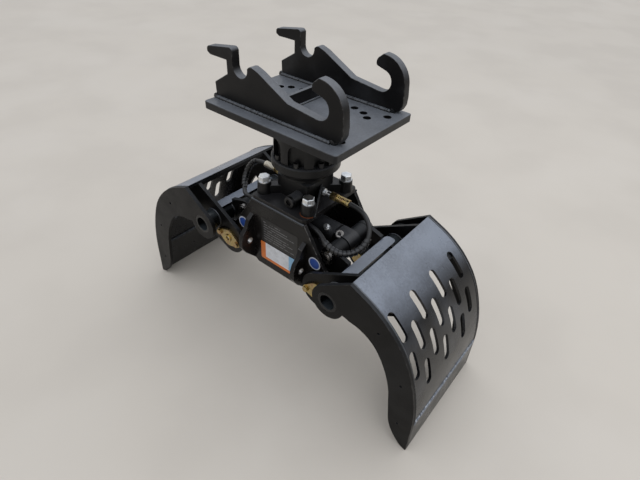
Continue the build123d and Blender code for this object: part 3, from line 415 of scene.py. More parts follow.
# Finishes
def new_material(name):
    """Material, its net and shader, and the sockets for the place on a piece and the way its face looks."""
    material = bpy.data.materials.new(name)
    material.use_nodes = True
    net = Net(material.node_tree)
    coords = net.add("ShaderNodeTexCoord")
    return material, net, material.node_tree.nodes["Principled BSDF"], coords["Object"], coords["Normal"]


def bumped(net, shader, height, strength, distance):
    bump = net.add("ShaderNodeBump", Strength=strength, Distance=distance, Height=height)
    net.feed(shader.inputs["Normal"], bump["Normal"])


def clouded(net, place, scale, tones):
    """Slow cloud of three tones over a piece."""
    return net.group(PLATING_CLOUD, Vector=place, Scale=scale, A=tones[0], B=tones[1], C=tones[2])


def painted(name, base, dust_sheen_color, low, roughness,
            high=1.0, amount=1.0, peel=0.5, wear_and_highlight=0.35, gloss=0.22, cut=False):
    """Black paint, lighter on faces that look up more than low with dust and painted sky sheen, lighter at
    its edges with worn paint and painted highlight, and with orange peel.
    """
    material, net, shader, place, facing = new_material(name)
    tone = clouded(net, place, 7.0, (base, vector_mix(base, (0, 0, 0), 0.25), vector_mix(base, dust_sheen_color, 0.12)))
    # Faces that look up turn lighter: dust, and painted sheen standing in for the sky's reflection.
    with_dust_and_sheen = net.group(UP_DUST_AND_SHEEN, Vector=place, Facing=facing, Color=tone["Color"], Film=dust_sheen_color,
                       Low=low, High=high, Amount=amount)
    # Sharp edges turn lighter: worn paint, and a painted edge highlight.
    worn_and_highlit = net.group(EDGE_WEAR_AND_HIGHLIGHT, Vector=place, Color=with_dust_and_sheen["Color"], Bare=(0.17, 0.165, 0.16), Amount=wear_and_highlight)
    skin = net.group(PAINT_PEEL, Vector=place)
    rough = net.maths("ADD", skin["Roughness"], roughness)
    height = skin["Height"]
    if cut:
        edge = net.group(CUT_EDGE, Vector=place, Facing=facing)
        height = net.maths("ADD", net.times(height, 0.5), net.times(edge["Height"], 1.6))
    net.feed(shader.inputs["Base Color"], worn_and_highlit["Color"])
    net.feed(shader.inputs["Roughness"], net.maths("ADD", rough, net.times(with_dust_and_sheen["Mask"], 0.08)))
    bumped(net, shader, height, strength=peel, distance=0.0004)
    shader.inputs["Specular IOR Level"].default_value = gloss
    return material


def metal(name, tones, roughness, scale=40.0, bump=0.15):
    """Plated or bare metal with clouded colour and a fine grain."""
    material, net, shader, place, _ = new_material(name)
    cloud = clouded(net, place, scale, tones)
    net.feed(shader.inputs["Base Color"], cloud["Color"])
    shader.inputs["Metallic"].default_value = 1.0
    rough = net.step(cloud["Value"], 0.3, 0.7, roughness - 0.07, roughness + 0.1)
    net.feed(shader.inputs["Roughness"], rough)
    bumped(net, shader, net.noise(place, 500.0), strength=bump, distance=0.0003)
    return material


def cast_paint(name, base, dust_sheen_color):
    """Paint over rough casting skin."""
    material, net, shader, place, facing = new_material(name)
    # Faces that look up turn lighter: dust, and painted sheen standing in for the sky's reflection.
    with_dust_and_sheen = net.group(UP_DUST_AND_SHEEN, Vector=place, Facing=facing, Color=base, Film=dust_sheen_color,
                       Low=0.3, High=1.0, Amount=0.8)
    # Sharp edges turn lighter: worn paint, and a painted edge highlight.
    worn_and_highlit = net.group(EDGE_WEAR_AND_HIGHLIGHT, Vector=place, Color=with_dust_and_sheen["Color"], Bare=(0.16, 0.16, 0.16), Amount=0.3)
    pits = net.noise(place, 330.0, 4.0, 0.6)
    lumps = net.noise(place, 55.0)
    net.feed(shader.inputs["Base Color"], worn_and_highlit["Color"])
    net.feed(shader.inputs["Roughness"], net.step(pits, 0.3, 0.7, 0.30, 0.46))
    bumped(net, shader, net.maths("ADD", pits, net.times(lumps, 2.0)), strength=0.45, distance=0.0006)
    shader.inputs["Specular IOR Level"].default_value = 0.32
    return material


def rubber(name):
    """Black rubber, lighter on its upper side with dust and painted sheen, and the trace of its wrapping."""
    material, net, shader, place, facing = new_material(name)
    with_dust_and_sheen = net.group(UP_DUST_AND_SHEEN, Vector=place, Facing=facing, Color=(0.0045, 0.0045, 0.0050),
                       Film=(0.026, 0.027, 0.030), Low=0.3, High=1.0, Amount=0.8)
    wrap = net.noise(place, 700.0, 2.0)
    net.feed(shader.inputs["Base Color"], with_dust_and_sheen["Color"])
    net.feed(shader.inputs["Roughness"], net.step(wrap, 0.3, 0.7, 0.34, 0.5))
    bumped(net, shader, wrap, strength=0.25, distance=0.0003)
    return material


def weld_scale(name):
    """Bluish speckled scale of a weld that was left rough under thin paint."""
    material, net, shader, place, _ = new_material(name)
    tones = (0.070, 0.083, 0.108), (0.190, 0.215, 0.262), (0.430, 0.460, 0.510)
    cloud = clouded(net, place, 170.0, tones)
    net.feed(shader.inputs["Base Color"], cloud["Color"])
    net.feed(shader.inputs["Roughness"], net.step(cloud["Value"], 0.3, 0.7, 0.30, 0.46))
    bumped(net, shader, net.noise(place, 620.0), strength=0.6, distance=0.0006)
    return material


def printed(name, first, bands=(), foot=None):
    """Printed layer: bands that start at the given X after the first colour, which also fills a foot band."""
    material, net, shader, place, _ = new_material(name)
    spot = net.axes(place)
    color = first
    for edge, tone in bands:
        color = net.mix(net.step(spot["X"], edge - PRINT_BLUR, edge + PRINT_BLUR), color, tone)
    if foot:
        color = net.mix(net.step(spot["Z"], foot - PRINT_BLUR, foot + PRINT_BLUR), first, color)
    grime = net.step(net.noise(place, 70.0, 4.0), 0.35, 0.8)
    net.feed(shader.inputs["Base Color"], net.mix(net.times(grime, 0.25), color, (0.10, 0.10, 0.10)))
    net.feed(shader.inputs["Roughness"], net.step(grime, 0.0, 1.0, 0.38, 0.50))
    return material


def line_print(name, ground, ink, spacing, area):
    """Plate with rows of broken plain strokes, no letters, inside an area (low X, high X, low Z, high Z)."""
    left, right, bottom, top = area
    material, net, shader, place, _ = new_material(name)
    spot = net.axes(place)
    rows = net.maths("DIVIDE", spot["Z"], spacing)
    row = net.maths("FLOOR", rows)
    off_line = net.maths("ABSOLUTE", net.maths("SUBTRACT", net.maths("FRACT", rows), 0.5))
    stroke = net.step(off_line, 0.10, 0.18, 1.0, 0.0)
    word_place = net.add("ShaderNodeCombineXYZ", X=net.times(spot["X"], 170.0), Y=net.times(row, 7.3), Z=0.0)
    gaps = net.step(net.noise(word_place["Vector"], 1.0, 0.0), 0.36, 0.42)
    row_place = net.add("ShaderNodeCombineXYZ", X=0.0, Y=net.times(row, 3.7), Z=0.5)
    spread = net.noise(row_place["Vector"], 1.0, 0.0)
    row_end = net.step(spread, 0.3, 0.7, left + 0.5 * (right - left), right)
    within = net.times(net.maths("LESS_THAN", spot["X"], row_end),
                       net.maths("GREATER_THAN", spot["X"], left))
    height = net.times(net.maths("LESS_THAN", spot["Z"], top),
                       net.maths("GREATER_THAN", spot["Z"], bottom))
    mask = net.times(net.times(stroke, gaps), net.times(within, height))
    net.feed(shader.inputs["Base Color"], net.mix(mask, ground, ink))
    net.feed(shader.inputs["Roughness"], net.step(net.noise(place, 60.0, 4.0), 0.3, 0.7, 0.30, 0.42))
    return material


# In each painted() call the colour after the base is the lighter tone of faces that look up: dust, and
# painted sheen standing in for the sky's reflection, mostly painted sheen on the sheet. Each paint's edge
# amount lightens its sharp edges with worn paint and a painted highlight.
finishes = {
    "side_black": painted("side_paint", (0.0030, 0.0027, 0.0028), (0.022, 0.024, 0.027),
                          low=0.35, roughness=0.38, peel=0.3, wear_and_highlight=0.5, gloss=0.18),
    "sheet_black": painted("sheet_paint", (0.0040, 0.0043, 0.0052), (0.190, 0.215, 0.262),
                           low=0.62, high=0.95, amount=1.05, roughness=0.22, peel=0.22, gloss=0.42),
    "blade_black": painted("blade_paint", (0.020, 0.0195, 0.0185), (0.060, 0.066, 0.075),
                           low=0.3, amount=0.8, roughness=0.30, wear_and_highlight=0.9, gloss=0.45),
    "frame_black": painted("frame_paint", (0.0050, 0.0042, 0.0040), (0.020, 0.020, 0.022),
                           low=0.25, roughness=0.28, peel=0.35, wear_and_highlight=0.85, gloss=0.26),
    "plate_black": painted("plate_paint", (0.0050, 0.0050, 0.0056), (0.125, 0.136, 0.155),
                           low=0.5, roughness=0.32, gloss=0.3),
    "hook_black": painted("hook_paint", (0.0048, 0.0044, 0.0045), (0.125, 0.133, 0.148),
                          low=0.2, high=0.95, roughness=0.38, cut=True),
    "cast_black": cast_paint("casting_paint", (0.0035, 0.0035, 0.0038), (0.045, 0.047, 0.052)),
    "plug_black": metal("black_oxide", ((0.06, 0.06, 0.062), (0.045, 0.045, 0.047), (0.08, 0.078, 0.075)),
                        roughness=0.42),
    "pin_steel": metal("turned_steel", ((0.42, 0.41, 0.40), (0.34, 0.33, 0.32), (0.25, 0.22, 0.19)),
                       roughness=0.33),
    "yellow_zinc": metal("yellow_zinc", ((0.48, 0.36, 0.14), (0.40, 0.33, 0.17), (0.38, 0.24, 0.13)),
                         roughness=0.30, scale=70.0),
    "white_zinc": metal("white_zinc", ((0.76, 0.79, 0.82), (0.66, 0.69, 0.73), (0.80, 0.80, 0.79)),
                        roughness=0.36, scale=60.0),
    "bronze": metal("bronze", ((0.52, 0.34, 0.15), (0.45, 0.29, 0.13), (0.38, 0.25, 0.13)),
                    roughness=0.36),
    "chrome_rod": metal("hard_chrome", ((0.78, 0.79, 0.80), (0.74, 0.75, 0.77), (0.80, 0.80, 0.80)),
                        roughness=0.12, bump=0.03),
    "hose_rubber": rubber("hose_rubber"),
}
tube_paint = painted("tube_paint", (0.0030, 0.0034, 0.0038), (0.030, 0.036, 0.041),
                     low=0.50, roughness=0.20, peel=0.12, wear_and_highlight=0.3, gloss=0.32)
weld_paint = painted("weld_paint", (0.0085, 0.0090, 0.0105), (0.090, 0.100, 0.116),
                     low=0.15, roughness=0.28, peel=0.7, wear_and_highlight=0.0, gloss=0.45)
blade_weld_paint = weld_scale("blade_weld_scale")
spiral_plastic = painted("spiral_plastic", (0.0046, 0.0046, 0.0050), (0.052, 0.055, 0.060),
                         low=0.3, amount=0.8, roughness=0.22, peel=0.2, wear_and_highlight=0.0, gloss=0.5)
rust = painted("rust_bleed", (0.085, 0.022, 0.006), (0.20, 0.055, 0.016),
               low=-0.6, roughness=0.6, peel=0.6, wear_and_highlight=0.0)
oiled_steel = metal("oiled_steel", ((0.20, 0.195, 0.19), (0.14, 0.135, 0.13), (0.10, 0.095, 0.09)),
                    roughness=0.24)
pale_ferrule = metal("pale_ferrule", ((0.66, 0.62, 0.52), (0.60, 0.57, 0.49), (0.55, 0.50, 0.42)),
                     roughness=0.38, scale=90.0)
blue_film = printed("blue_film", (0.012, 0.060, 0.300))
pale_film = printed("pale_film", (0.55, 0.58, 0.64))
orange_film = printed("orange_film", ORANGE)
band_film = printed("band_film", ORANGE, ((-0.050, PALE_GREY), (0.046, LIGHT_BLUE)), foot=LABEL_FOOT)
data_film = line_print("data_film", (0.0055, 0.0055, 0.0060), (0.150, 0.150, 0.155), DATA_ROW, DATA_AREA)
data_rim = painted("data_rim", (0.030, 0.030, 0.032), (0.06, 0.062, 0.066),
                   low=0.2, amount=0.5, roughness=0.3, peel=0.1, wear_and_highlight=0.0)


# Pieces
def finish_piece(name, work, body, slot, replaced=(), smooth=SMOOTH_ANGLE, paints=()):
    """Turn a bmesh into a finished piece that rides on a body."""
    mesh = bpy.data.meshes.new(name)
    work.normal_update()
    work.to_mesh(mesh)
    work.free()
    for polygon in mesh.polygons:
        polygon.use_smooth = True
    mesh.set_sharp_from_angle(angle=radians(smooth))
    piece = bpy.data.objects.new(name, mesh)
    scene.collection.objects.link(piece)
    for paint in paints or (finishes[slot],):
        mesh.materials.append(paint)
    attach(piece, body)
    if replaced:
        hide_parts(*replaced)
    return piece


slot_of = {item["node"]: item["material_slot"] for item in frame["record"]["subparts"]}
body_of = {node: obj["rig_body"] for node, obj in frame["nodes"].items()}


def placed(work, axis, place):
    """Lay a shape's Z axis along a direction and bring its origin to a place."""
    turn = Vector(axis).to_track_quat("Z", "Y").to_matrix().to_4x4()
    bmesh.ops.transform(work, matrix=Matrix.Translation(place) @ turn, verts=work.verts)


def turned(outline, sides=32):
    """Turned shape about Z from (radius, height) stations, closed at both ends."""
    work = bmesh.new()
    corners = [work.verts.new((radius, 0, height)) for radius, height in outline]
    edges = [work.edges.new(pair) for pair in zip(corners, corners[1:])]
    bmesh.ops.spin(work, geom=corners + edges, cent=(0, 0, 0), axis=(0, 0, 1), angle=tau, steps=sides,
                   use_merge=True)
    bmesh.ops.remove_doubles(work, verts=work.verts, dist=1e-6)
    bmesh.ops.recalc_face_normals(work, faces=work.faces)
    return work


def hexagon(across, low, high, corner=0.0008):
    """Hexagon bar between two heights with turned-down corners."""
    work = bmesh.new()
    radius = across / sqrt(3)
    bmesh.ops.create_cone(work, cap_ends=True, segments=6, radius1=radius, radius2=radius, depth=high - low)
    bmesh.ops.translate(work, vec=(0, 0, (high + low) / 2), verts=work.verts)
    rims = [e for e in work.edges if abs(e.verts[0].co.z - e.verts[1].co.z) < 1e-6]
    bmesh.ops.bevel(work, geom=rims, offset=corner, offset_type="OFFSET", segments=2, profile=0.5,
                    affect="EDGES", material=-1)
    return work


def joined(works):
    """One bmesh holding all of the given ones."""
    whole = bmesh.new()
    for work in works:
        mesh = bpy.data.meshes.new("joined")
        work.to_mesh(mesh)
        work.free()
        whole.from_mesh(mesh)
        bpy.data.meshes.remove(mesh)
    return whole


def along(centre, distance):
    """Place and direction at a distance along a centre line."""
    for start, end in zip(centre, centre[1:]):
        run = (end - start).length
        if distance <= run:
            return start.lerp(end, distance / run), (end - start).normalized()
        distance -= run
    return centre[-1].copy(), (centre[-1] - centre[-2]).normalized()


def pushed(work, centre, stops):
    """Push the only face of a bmesh along a line, and close the start once the caller has set every ring."""
    face = next(iter(work.faces))
    first = ring = [loop.vert for loop in face.loops]
    across = None
    for step, distance in enumerate(stops):
        middle, ahead = along(centre, distance)
        if step:
            across = (across - ahead * across.dot(ahead)).normalized()
            face = bmesh.ops.extrude_discrete_faces(work, faces=[face])["faces"][0]
            ring = [loop.vert for loop in face.loops]
        else:
            across = ahead.orthogonal().normalized()
        yield step, ring, middle, ahead, across
    work.faces.new(list(reversed(first)))
    bmesh.ops.recalc_face_normals(work, faces=work.faces)


# Hoses
def make_hose(name, node, route):
    """Round hose on its own smooth curve; also gives the centre line it follows."""
    curve = bpy.data.curves.new(name, "CURVE")
    curve.dimensions = "3D"
    curve.resolution_u = 10
    spline = curve.splines.new("NURBS")
    spline.points.add(len(route) - 1)
    for point, place in zip(spline.points, route):
        point.co = (*place, 1.0)
    spline.order_u = 3
    spline.use_endpoint_u = True
    hose = bpy.data.objects.new(name, curve)
    scene.collection.objects.link(hose)
    line = bpy.data.meshes.new_from_object(hose)
    centre = [v.co.copy() for v in line.vertices]
    bpy.data.meshes.remove(line)
    curve.bevel_depth = HOSE_DIAMETER / 2
    curve.bevel_resolution = 6
    curve.use_fill_caps = True
    curve.materials.append(finishes[slot_of[node]])
    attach(hose, "frame")
    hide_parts(node)
    return hose, centre


def spiral_guard(name, centre, start, end):
    """Flat plastic strip wound round a hose between two distances along it."""
    work = bmesh.new()
    bmesh.ops.create_grid(work, x_segments=1, y_segments=1, size=1)
    steps = int((end - start) / GUARD_PITCH * GUARD_TURN_STEPS)
    stops = [start + (end - start) * step / steps for step in range(steps + 1)]
    inner = HOSE_DIAMETER / 2 - GUARD_SINK
    for step, ring, middle, ahead, across in pushed(work, centre, stops):
        out = Matrix.Rotation(step * tau / GUARD_TURN_STEPS, 3, ahead) @ across
        for vert, (width, rise) in zip(ring, STRIP_CORNERS):
            lift = inner + rise * (GUARD_RADIUS - inner)
            vert.co = middle + out * lift + ahead * width * GUARD_HALF_WIDTH
    return finish_piece(name, work, "frame", "hose_rubber", smooth=50, paints=(spiral_plastic,))


right_hose, right_line = make_hose("right_swivel_hose", "right_hose", RIGHT_HOSE)
left_hose, left_line = make_hose("left_swivel_hose", "left_hose", LEFT_HOSE)
right_guard = spiral_guard("right_hose_guard", right_line, *RIGHT_GUARD_RUN)
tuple(RIGHT_HOSE[0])
left_guard = spiral_guard("left_hose_guard", left_line, *LEFT_GUARD_RUN)
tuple(LEFT_HOSE[0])


def swivel_end(side, name, ferrule_paint):
    """Union, nut and crimped ferrule that bring a hose to one side of the swivel."""
    lows = [CRIMP_FIRST + ring * CRIMP_PITCH for ring in range(CRIMP_COUNT)]
    crimps = [(radius, low + rise) for low in lows for radius, rise in CRIMP]
    ferrule = turned([*FERRULE_ROOT, *crimps, *FERRULE_MOUTH], sides=40)
    for kind, work, slot, paint in (
        ("_swivel_union", joined([hexagon(*UNION_HEX), turned(UNION_NECK)]), "white_zinc", ()),
        ("_swivel_nut", joined([hexagon(*NUT_HEX), turned(NUT_FACE)]), "yellow_zinc", ()),
        ("_hose_ferrule", ferrule, "yellow_zinc", (ferrule_paint,)),
    ):
        placed(work, (side, 0, 0), SWIVEL)
        finish_piece(name + kind, work, "frame", slot, ("swivel_fittings",), paints=paint)


swivel_end(1, "right", finishes["yellow_zinc"])
swivel_end(-1, "left", pale_ferrule)


# Solids with their edges broken
def merged_copy(node):
    """The node's own mesh as a bmesh with shared points and flat faces joined."""
    work = bmesh.new()
    work.from_mesh(frame["nodes"][node].data)
    bmesh.ops.remove_doubles(work, verts=work.verts, dist=2e-6)
    bmesh.ops.dissolve_limit(work, angle_limit=radians(FLAT_ANGLE), verts=work.verts, edges=work.edges)
    return work


def mark_faces(faces, mark):
    """Set a mark on every corner of the faces."""
    for face in faces:
        for loop in face.loops:
            loop[mark] = 1.0


def break_edges(work, width):
    """Round the sharp edges and mark the new faces, where the paint shows wear and a painted edge highlight.
    """
    mark = work.loops.layers.float.new("wear_and_highlight")
    sharp = [e for e in work.edges if e.is_manifold and e.calc_face_angle() > radians(SHARP_ANGLE)]
    made = bmesh.ops.bevel(
        work, geom=sharp, offset=width, offset_type="OFFSET", segments=2, profile=0.5,
        affect="EDGES", material=-1, clamp_overlap=True, loop_slide=True,
    )
    mark_faces(made["faces"], mark)


def sheet_line(depth=0.0):
    """Points along the outside of a bent sheet, from its top edge to the weld, at a depth under the face."""
    slope, place = radians(-TOP_SLOPE), Vector((SHEET_CORNER[0], 0, SHEET_CORNER[1]))
    runs = [(TOP_FLAT, 0.0)] + [(radius * radians(angle), radians(angle)) for radius, angle in BENDS]
    left = SHEET_RUN - sum(run for run, turn in runs)
    places = []
    for run, turn in runs + [(left, 0.0)]:
        steps = max(2, round(run / SHEET_STEP))
        for step in range(steps):
            places.append(place + Vector((sin(slope), 0, -cos(slope))) * depth)
            slope -= turn / steps / 2
            place = place + Vector((cos(slope), 0, sin(slope))) * run / steps
            slope -= turn / steps / 2
    places.append(place + Vector((sin(slope), 0, -cos(slope))) * depth)
    return places


def mark_cut_walls(work):
    """Mark the faces of a bent sheet that are cut through it, which get neither dust nor painted sheen."""
    mark = work.loops.layers.float.new("cut_wall")
    line = sheet_line()
    outward = [Vector((-(b - a).z, 0, (b - a).x)).normalized() for a, b in zip(line, line[1:])]
    cut = []
    for face in work.faces:
        middle, normal = face.calc_center_median(), face.normal.copy()
        if middle.x < 0:
            middle.x, normal.x = -middle.x, -normal.x
        near = min(range(len(outward)),
                   key=lambda i: (line[i].x - middle.x) ** 2 + (line[i].z - middle.z) ** 2)
        if abs(normal.dot(outward[near])) < CUT_WALL_FACING:
            cut.append(face)
    mark_faces(cut, mark)


own_paint = {
    "right_cross_tube": (tube_paint,), "left_cross_tube": (tube_paint,),
    "right_cylinder_pin": (oiled_steel,), "left_cylinder_pin": (oiled_steel,),
}
made_apart = ("right_hose", "left_hose", "swivel_fittings")
rounded = {
    "hook_plate_front": HOOK_BREAK, "hook_plate_rear": HOOK_BREAK, "adapter_plate": PLATE_BREAK,
    "frame_side_front": PLATE_BREAK, "frame_side_rear": PLATE_BREAK, "frame_deck_plate": PLATE_BREAK,
    "lashing_eyes": PLATE_BREAK,
}


def dress(node):
    """Finished piece in the place of a solid, with its edges rounded."""
    work = merged_copy(node)
    break_edges(work, rounded.get(node, PART_BREAK))
    if node.endswith("shell_sheet"):
        work.normal_update()
        mark_cut_walls(work)
    paints = own_paint.get(node, ())
    piece = finish_piece(node + "_finished", work, body_of[node], slot_of[node], (node,), paints=paints)
    piece.modifiers.new("settle_normals", "WEIGHTED_NORMAL").keep_sharp = True


for node in sorted(frame["nodes"]):
    if node not in made_apart:
        dress(node)


# Welds
def weld_bead(route, size, chance):
    """Bead of weld metal: a small ring pushed along a route, a little uneven from ripple to ripple."""
    work = bmesh.new()
    bmesh.ops.create_circle(work, cap_ends=True, segments=BEAD_SIDES, radius=1.0)
    route = [Vector(place) for place in route]
    length = sum((b - a).length for a, b in zip(route, route[1:]))
    last = 2 * max(2, round(length / WELD_STEP))
    spots = [(cos(tau * i / BEAD_SIDES), sin(tau * i / BEAD_SIDES)) for i in range(BEAD_SIDES)]
    stops = [length * step / last for step in range(last + 1)]
    for step, ring, middle, ahead, across in pushed(work, route, stops):
        other = ahead.cross(across)
        swell = BEAD_RIPPLE[step % 2] * chance.uniform(*BEAD_UNEVEN)
        if step in (0, last):
            swell *= BEAD_TAPER
        aside, upward = (chance.uniform(-BEAD_DRIFT, BEAD_DRIFT) for _ in range(2))
        drift = across * aside * size + other * upward * size
        for vert, (x, y) in zip(ring, spots):
            vert.co = middle + drift + (across * x + other * y) * size * swell
    return work


def weld_piece(name, body, slot, routes, size, seed, paint=weld_paint):
    """Beads along several routes as one piece."""
    chance = random.Random(seed)
    beads = [weld_bead(route, size, chance) for route in routes]
    finish_piece(name, joined(beads), body, slot, smooth=60, paints=(paint,))


def line_x(low, high, y, z):
    return [(low, y, z), (high, y, z)]


def line_y(x, low, high, z):
    return [(x, low, z), (x, high, z)]


def tube_ring(side, y):
    """Points round a shell's cross tube at one face of a plate."""
    radius = TUBE_WELD_RADIUS
    angles = [tau * i / RING_STEPS for i in range(RING_STEPS + 1)]
    return [(side * (TUBE[0] + radius * cos(a)), y, TUBE[1] + radius * sin(a)) for a in angles]


hook_lines = [line_x(*HOOK_FOOT, y, PLATE_TOP) for y in HOOK_FACES]
weld_piece("hook_foot_welds", "coupler", "plate_black", hook_lines, size=0.0070, seed=3)
end_lines = [line_y(x, low - 0.003, high + 0.003, PLATE_TOP + 0.001)
             for x in (HOOK_FOOT[0] - 0.001, HOOK_FOOT[1] + 0.002)
             for low, high in (HOOK_FACES[:2], HOOK_FACES[2:])]
weld_piece("hook_end_welds", "coupler", "plate_black", end_lines, size=0.0095, seed=5)
bar_lines = [line_y(x, BAR_ENDS[0] + 0.001, BAR_ENDS[1] - 0.001, PLATE_TOP) for x in BAR_FACES]
bar_lines += [[(x, y, PLATE_TOP + 0.001), (x, y, BAR_TOP)] for x in BAR_FACES for y in BAR_ENDS]
weld_piece("cross_bar_welds", "coupler", "plate_black", bar_lines, size=0.0046, seed=4)

seam_line = sheet_line(SEAM_DEPTH)
foot = seam_line[-1]
for side, name in SIDES:
    shell = name + "_shell"
    seams = [[(side * place.x, y, place.z) for place in seam_line] for y in (-SIDE_INNER, SIDE_INNER)]
    weld_piece(name + "_sheet_seams", shell, "sheet_black", seams, size=0.0030, seed=5 + side)
    outer = [line_y(side * (foot.x - BLADE_WELD_DEPTH), -BLADE_WELD_HALF, BLADE_WELD_HALF, foot.z + rise)
             for rise in BLADE_WELD_RISES]
    weld_piece(name + "_blade_weld", shell, "blade_black", outer, size=0.0054, seed=8 + side,
               paint=blade_weld_paint)
    root = [line_y(side * (foot.x - BLADE_ROOT_DEPTH), -BLADE_ROOT_HALF, BLADE_ROOT_HALF, foot.z)]
    weld_piece(name + "_blade_root_weld", shell, "blade_black", root, size=0.0060, seed=10 + side)
    rings = [tube_ring(side, y) for y in (*(-face for face in reversed(TUBE_FACES)), *TUBE_FACES)]
    weld_piece(name + "_tube_welds", shell, "side_black", rings, size=0.0036, seed=12 + side)

deck_lines = [line_x(-DECK_WELD[0], DECK_WELD[0], y, DECK_WELD[1]) for y in (-FRAME_FACE, FRAME_FACE)]
weld_piece("deck_welds", "frame", "frame_black", deck_lines, size=0.0042, seed=21)


def casting_web():
    """Sloping web from the side of the swivel casting down to the foot of the front right spacer."""
    work = bmesh.new()
    sunk = DECK_TOP - 0.001
    corners = (WEB_HIGH, WEB_LOW, (WEB_LOW.x, WEB_LOW.y, sunk), (*WEB_ROOT, sunk), (*WEB_ROOT, WEB_HIGH.z))
    bmesh.ops.contextual_create(work, geom=[work.verts.new(place) for place in corners])
    bmesh.ops.solidify(work, geom=list(work.faces), thickness=WEB_THICK)
    bmesh.ops.recalc_face_normals(work, faces=work.faces)
    break_edges(work, WEB_BREAK)
    finish_piece("casting_web", work, "frame", "cast_black")


casting_web()
front_arc = [radians(-150 + 10 * step) for step in range(15)]
spacer_foot = [
    (SPACER[0] + SPACER_FOOT_RADIUS * cos(a), SPACER[1] + SPACER_FOOT_RADIUS * sin(a), DECK_TOP + 0.0004)
    for a in front_arc
]
weld_piece("spacer_rust", "frame", "cast_black", [spacer_foot], size=0.0011, seed=31, paint=rust)


# Small parts
def round_tag(side, name):
    """Thin blue disc with a pale rim on the front side plate."""
    inner = TAG_RADIUS - TAG_RIM
    foot_edge, rim_edge = (TAG_RADIUS, -TAG_SINK), (TAG_RADIUS, TAG_THICK)
    work = turned([(0, -TAG_SINK), foot_edge, rim_edge, (inner, TAG_THICK), (0, TAG_THICK)], sides=48)
    for face in work.faces:
        middle = face.calc_center_median()
        face.material_index = 1 if middle.xy.length > inner or middle.z < 0 else 0
    placed(work, (0, -1, 0), (side * TAG[0], -FRAME_FACE, TAG[1]))
    finish_piece(name + "_round_tag", work, "frame", "frame_black", paints=(blue_film, pale_film))


def lay_plate(name, corners, paints, rim=0.0, round_off=0.003):
    """Thin plate on the front side plate between two corners (x, z), with a rim in its second paint."""
    low, high = corners
    work = bmesh.new()
    bmesh.ops.create_grid(work, x_segments=1, y_segments=1, size=0.5)
    bmesh.ops.scale(work, vec=(high[0] - low[0], high[1] - low[1], 1), verts=work.verts)
    bmesh.ops.bevel(work, geom=list(work.verts), offset=round_off, offset_type="OFFSET", segments=4,
                    profile=0.5, affect="VERTICES", material=-1)
    top = list(work.faces)
    if rim:
        bmesh.ops.inset_region(work, faces=top, thickness=rim, depth=0.0)
        for face in work.faces:
            face.material_index = 0 if face in top else 1
    bmesh.ops.solidify(work, geom=list(work.faces), thickness=-LABEL_THICK)
    bmesh.ops.recalc_face_normals(work, faces=work.faces)
    upright = Matrix(((1, 0, 0, 0), (0, 0, -1, 0), (0, 1, 0, 0), (0, 0, 0, 1)))
    middle = ((low[0] + high[0]) / 2, -FRAME_FACE + 0.0001, (low[1] + high[1]) / 2)
    bmesh.ops.transform(work, matrix=Matrix.Translation(middle) @ upright, verts=work.verts)
    finish_piece(name, work, "frame", "frame_black", paints=paints)


for side, name in SIDES:
    round_tag(side, name)
lay_plate("blank_data_plate", DATA_PLATE, (data_film, data_rim), rim=0.0022)
lay_plate("blank_label", LABEL, (band_film, orange_film), round_off=0.004)

# Rings and grease nipples on the pivot pins
for side, name in SIDES:
    for face, end in ENDS:
        ring = turned(PIN_RING, sides=40)
        placed(ring, (0, face, 0), (side * PIVOT[0], face * PIN_RING_Y, PIVOT[1]))
        finish_piece(name + "_" + end + "_pin_ring", ring, name + "_shell", "yellow_zinc")
        nipple = joined([hexagon(*NIPPLE_HEX, corner=0.0004), turned(NIPPLE, sides=16)])
        placed(nipple, (0, face, 0), (side * PIVOT[0], face * NIPPLE_Y, PIVOT[1]))
        finish_piece(name + "_" + end + "_nipple", nipple, name + "_shell", "white_zinc")

# Worn bright walls of the lashing eyes
for side, name in SIDES:
    for face, end in ENDS:
        sleeve = turned(EYE_SLEEVE, sides=40)
        placed(sleeve, (1, 0, 0), (side * EYE[0], face * EYE[1], EYE[2]))
        finish_piece(name + "_" + end + "_eye_wear", sleeve, "frame", "pin_steel")

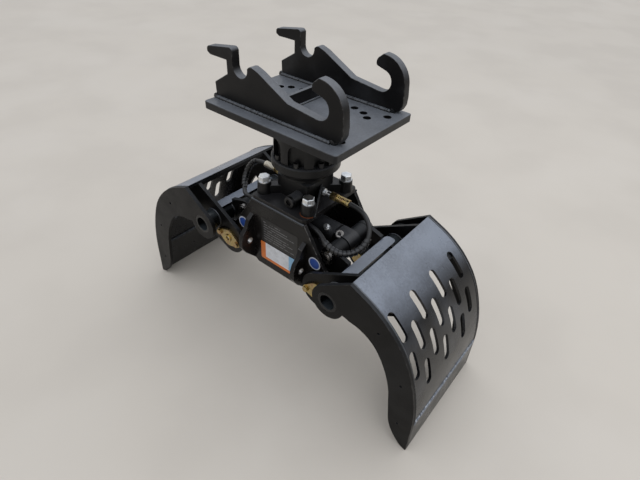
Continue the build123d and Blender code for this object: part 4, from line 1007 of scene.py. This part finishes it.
# Plugs on the cylinder: one in each port, one on top of the barrel, and a ring plug beside the eye
for name, x in PORTS:
    plug = joined([hexagon(*PLUG_HEX), turned(PLUG_WASHER)])
    placed(plug, (0, -1, 0), (x, -PORT_FACE, CYLINDER_Z))
    finish_piece(name, plug, "barrel", "white_zinc")
top_plug = joined([hexagon(*TOP_PLUG_HEX), turned(TOP_PLUG_NECK)])
aside, upward = TOP_PLUG_AXIS.yz
placed(top_plug, TOP_PLUG_AXIS, (TOP_PLUG_X, aside * BARREL_SKIN, CYLINDER_Z + upward * BARREL_SKIN))
finish_piece("barrel_top_plug", top_plug, "barrel", "white_zinc")
ring_plug = turned(RING_PLUG, sides=40)
placed(ring_plug, RING_PLUG_AXIS, RING_PLUG_PLACE)
finish_piece("eye_ring_plug", ring_plug, "barrel", "pin_steel")


# Floor and light
def make_floor():
    """Plain pale floor."""
    work = bmesh.new()
    bmesh.ops.create_grid(work, x_segments=1, y_segments=1, size=FLOOR_HALF)
    mesh = bpy.data.meshes.new("floor")
    work.to_mesh(mesh)
    work.free()
    floor = bpy.data.objects.new("floor", mesh)
    scene.collection.objects.link(floor)
    material, net, shader, place, _ = new_material("pale_floor")
    tones = (0.545, 0.508, 0.455), (0.520, 0.484, 0.434), (0.555, 0.519, 0.468)
    net.feed(shader.inputs["Base Color"], clouded(net, place, 1.6, tones)["Color"])
    shader.inputs["Roughness"].default_value = 0.8
    mesh.materials.append(material)


def make_light():
    """Overcast sky, brighter overhead than at the horizon, with one large soft lamp."""
    world = bpy.data.worlds.new("sky")
    scene.world = world
    world.use_nodes = True
    net = Net(world.node_tree)
    background = world.node_tree.nodes["Background"]
    height = net.axes(net.add("ShaderNodeTexCoord")["Generated"])["Z"]
    net.feed(background.inputs["Color"], net.mix(net.clamp(height), HORIZON, ZENITH))
    background.inputs["Strength"].default_value = 1.0
    data = bpy.data.lights.new("overhead", "AREA")
    data.shape = "RECTANGLE"
    data.size, data.size_y = LAMP_SIZE
    data.energy = LAMP_POWER
    data.color = LAMP_TONE
    lamp = bpy.data.objects.new("overhead", data)
    lamp.location = LAMP_PLACE
    lamp.rotation_euler = (Vector(LAMP_AIM) - lamp.location).to_track_quat("-Z", "Y").to_euler()
    scene.collection.objects.link(lamp)


make_floor()
make_light()
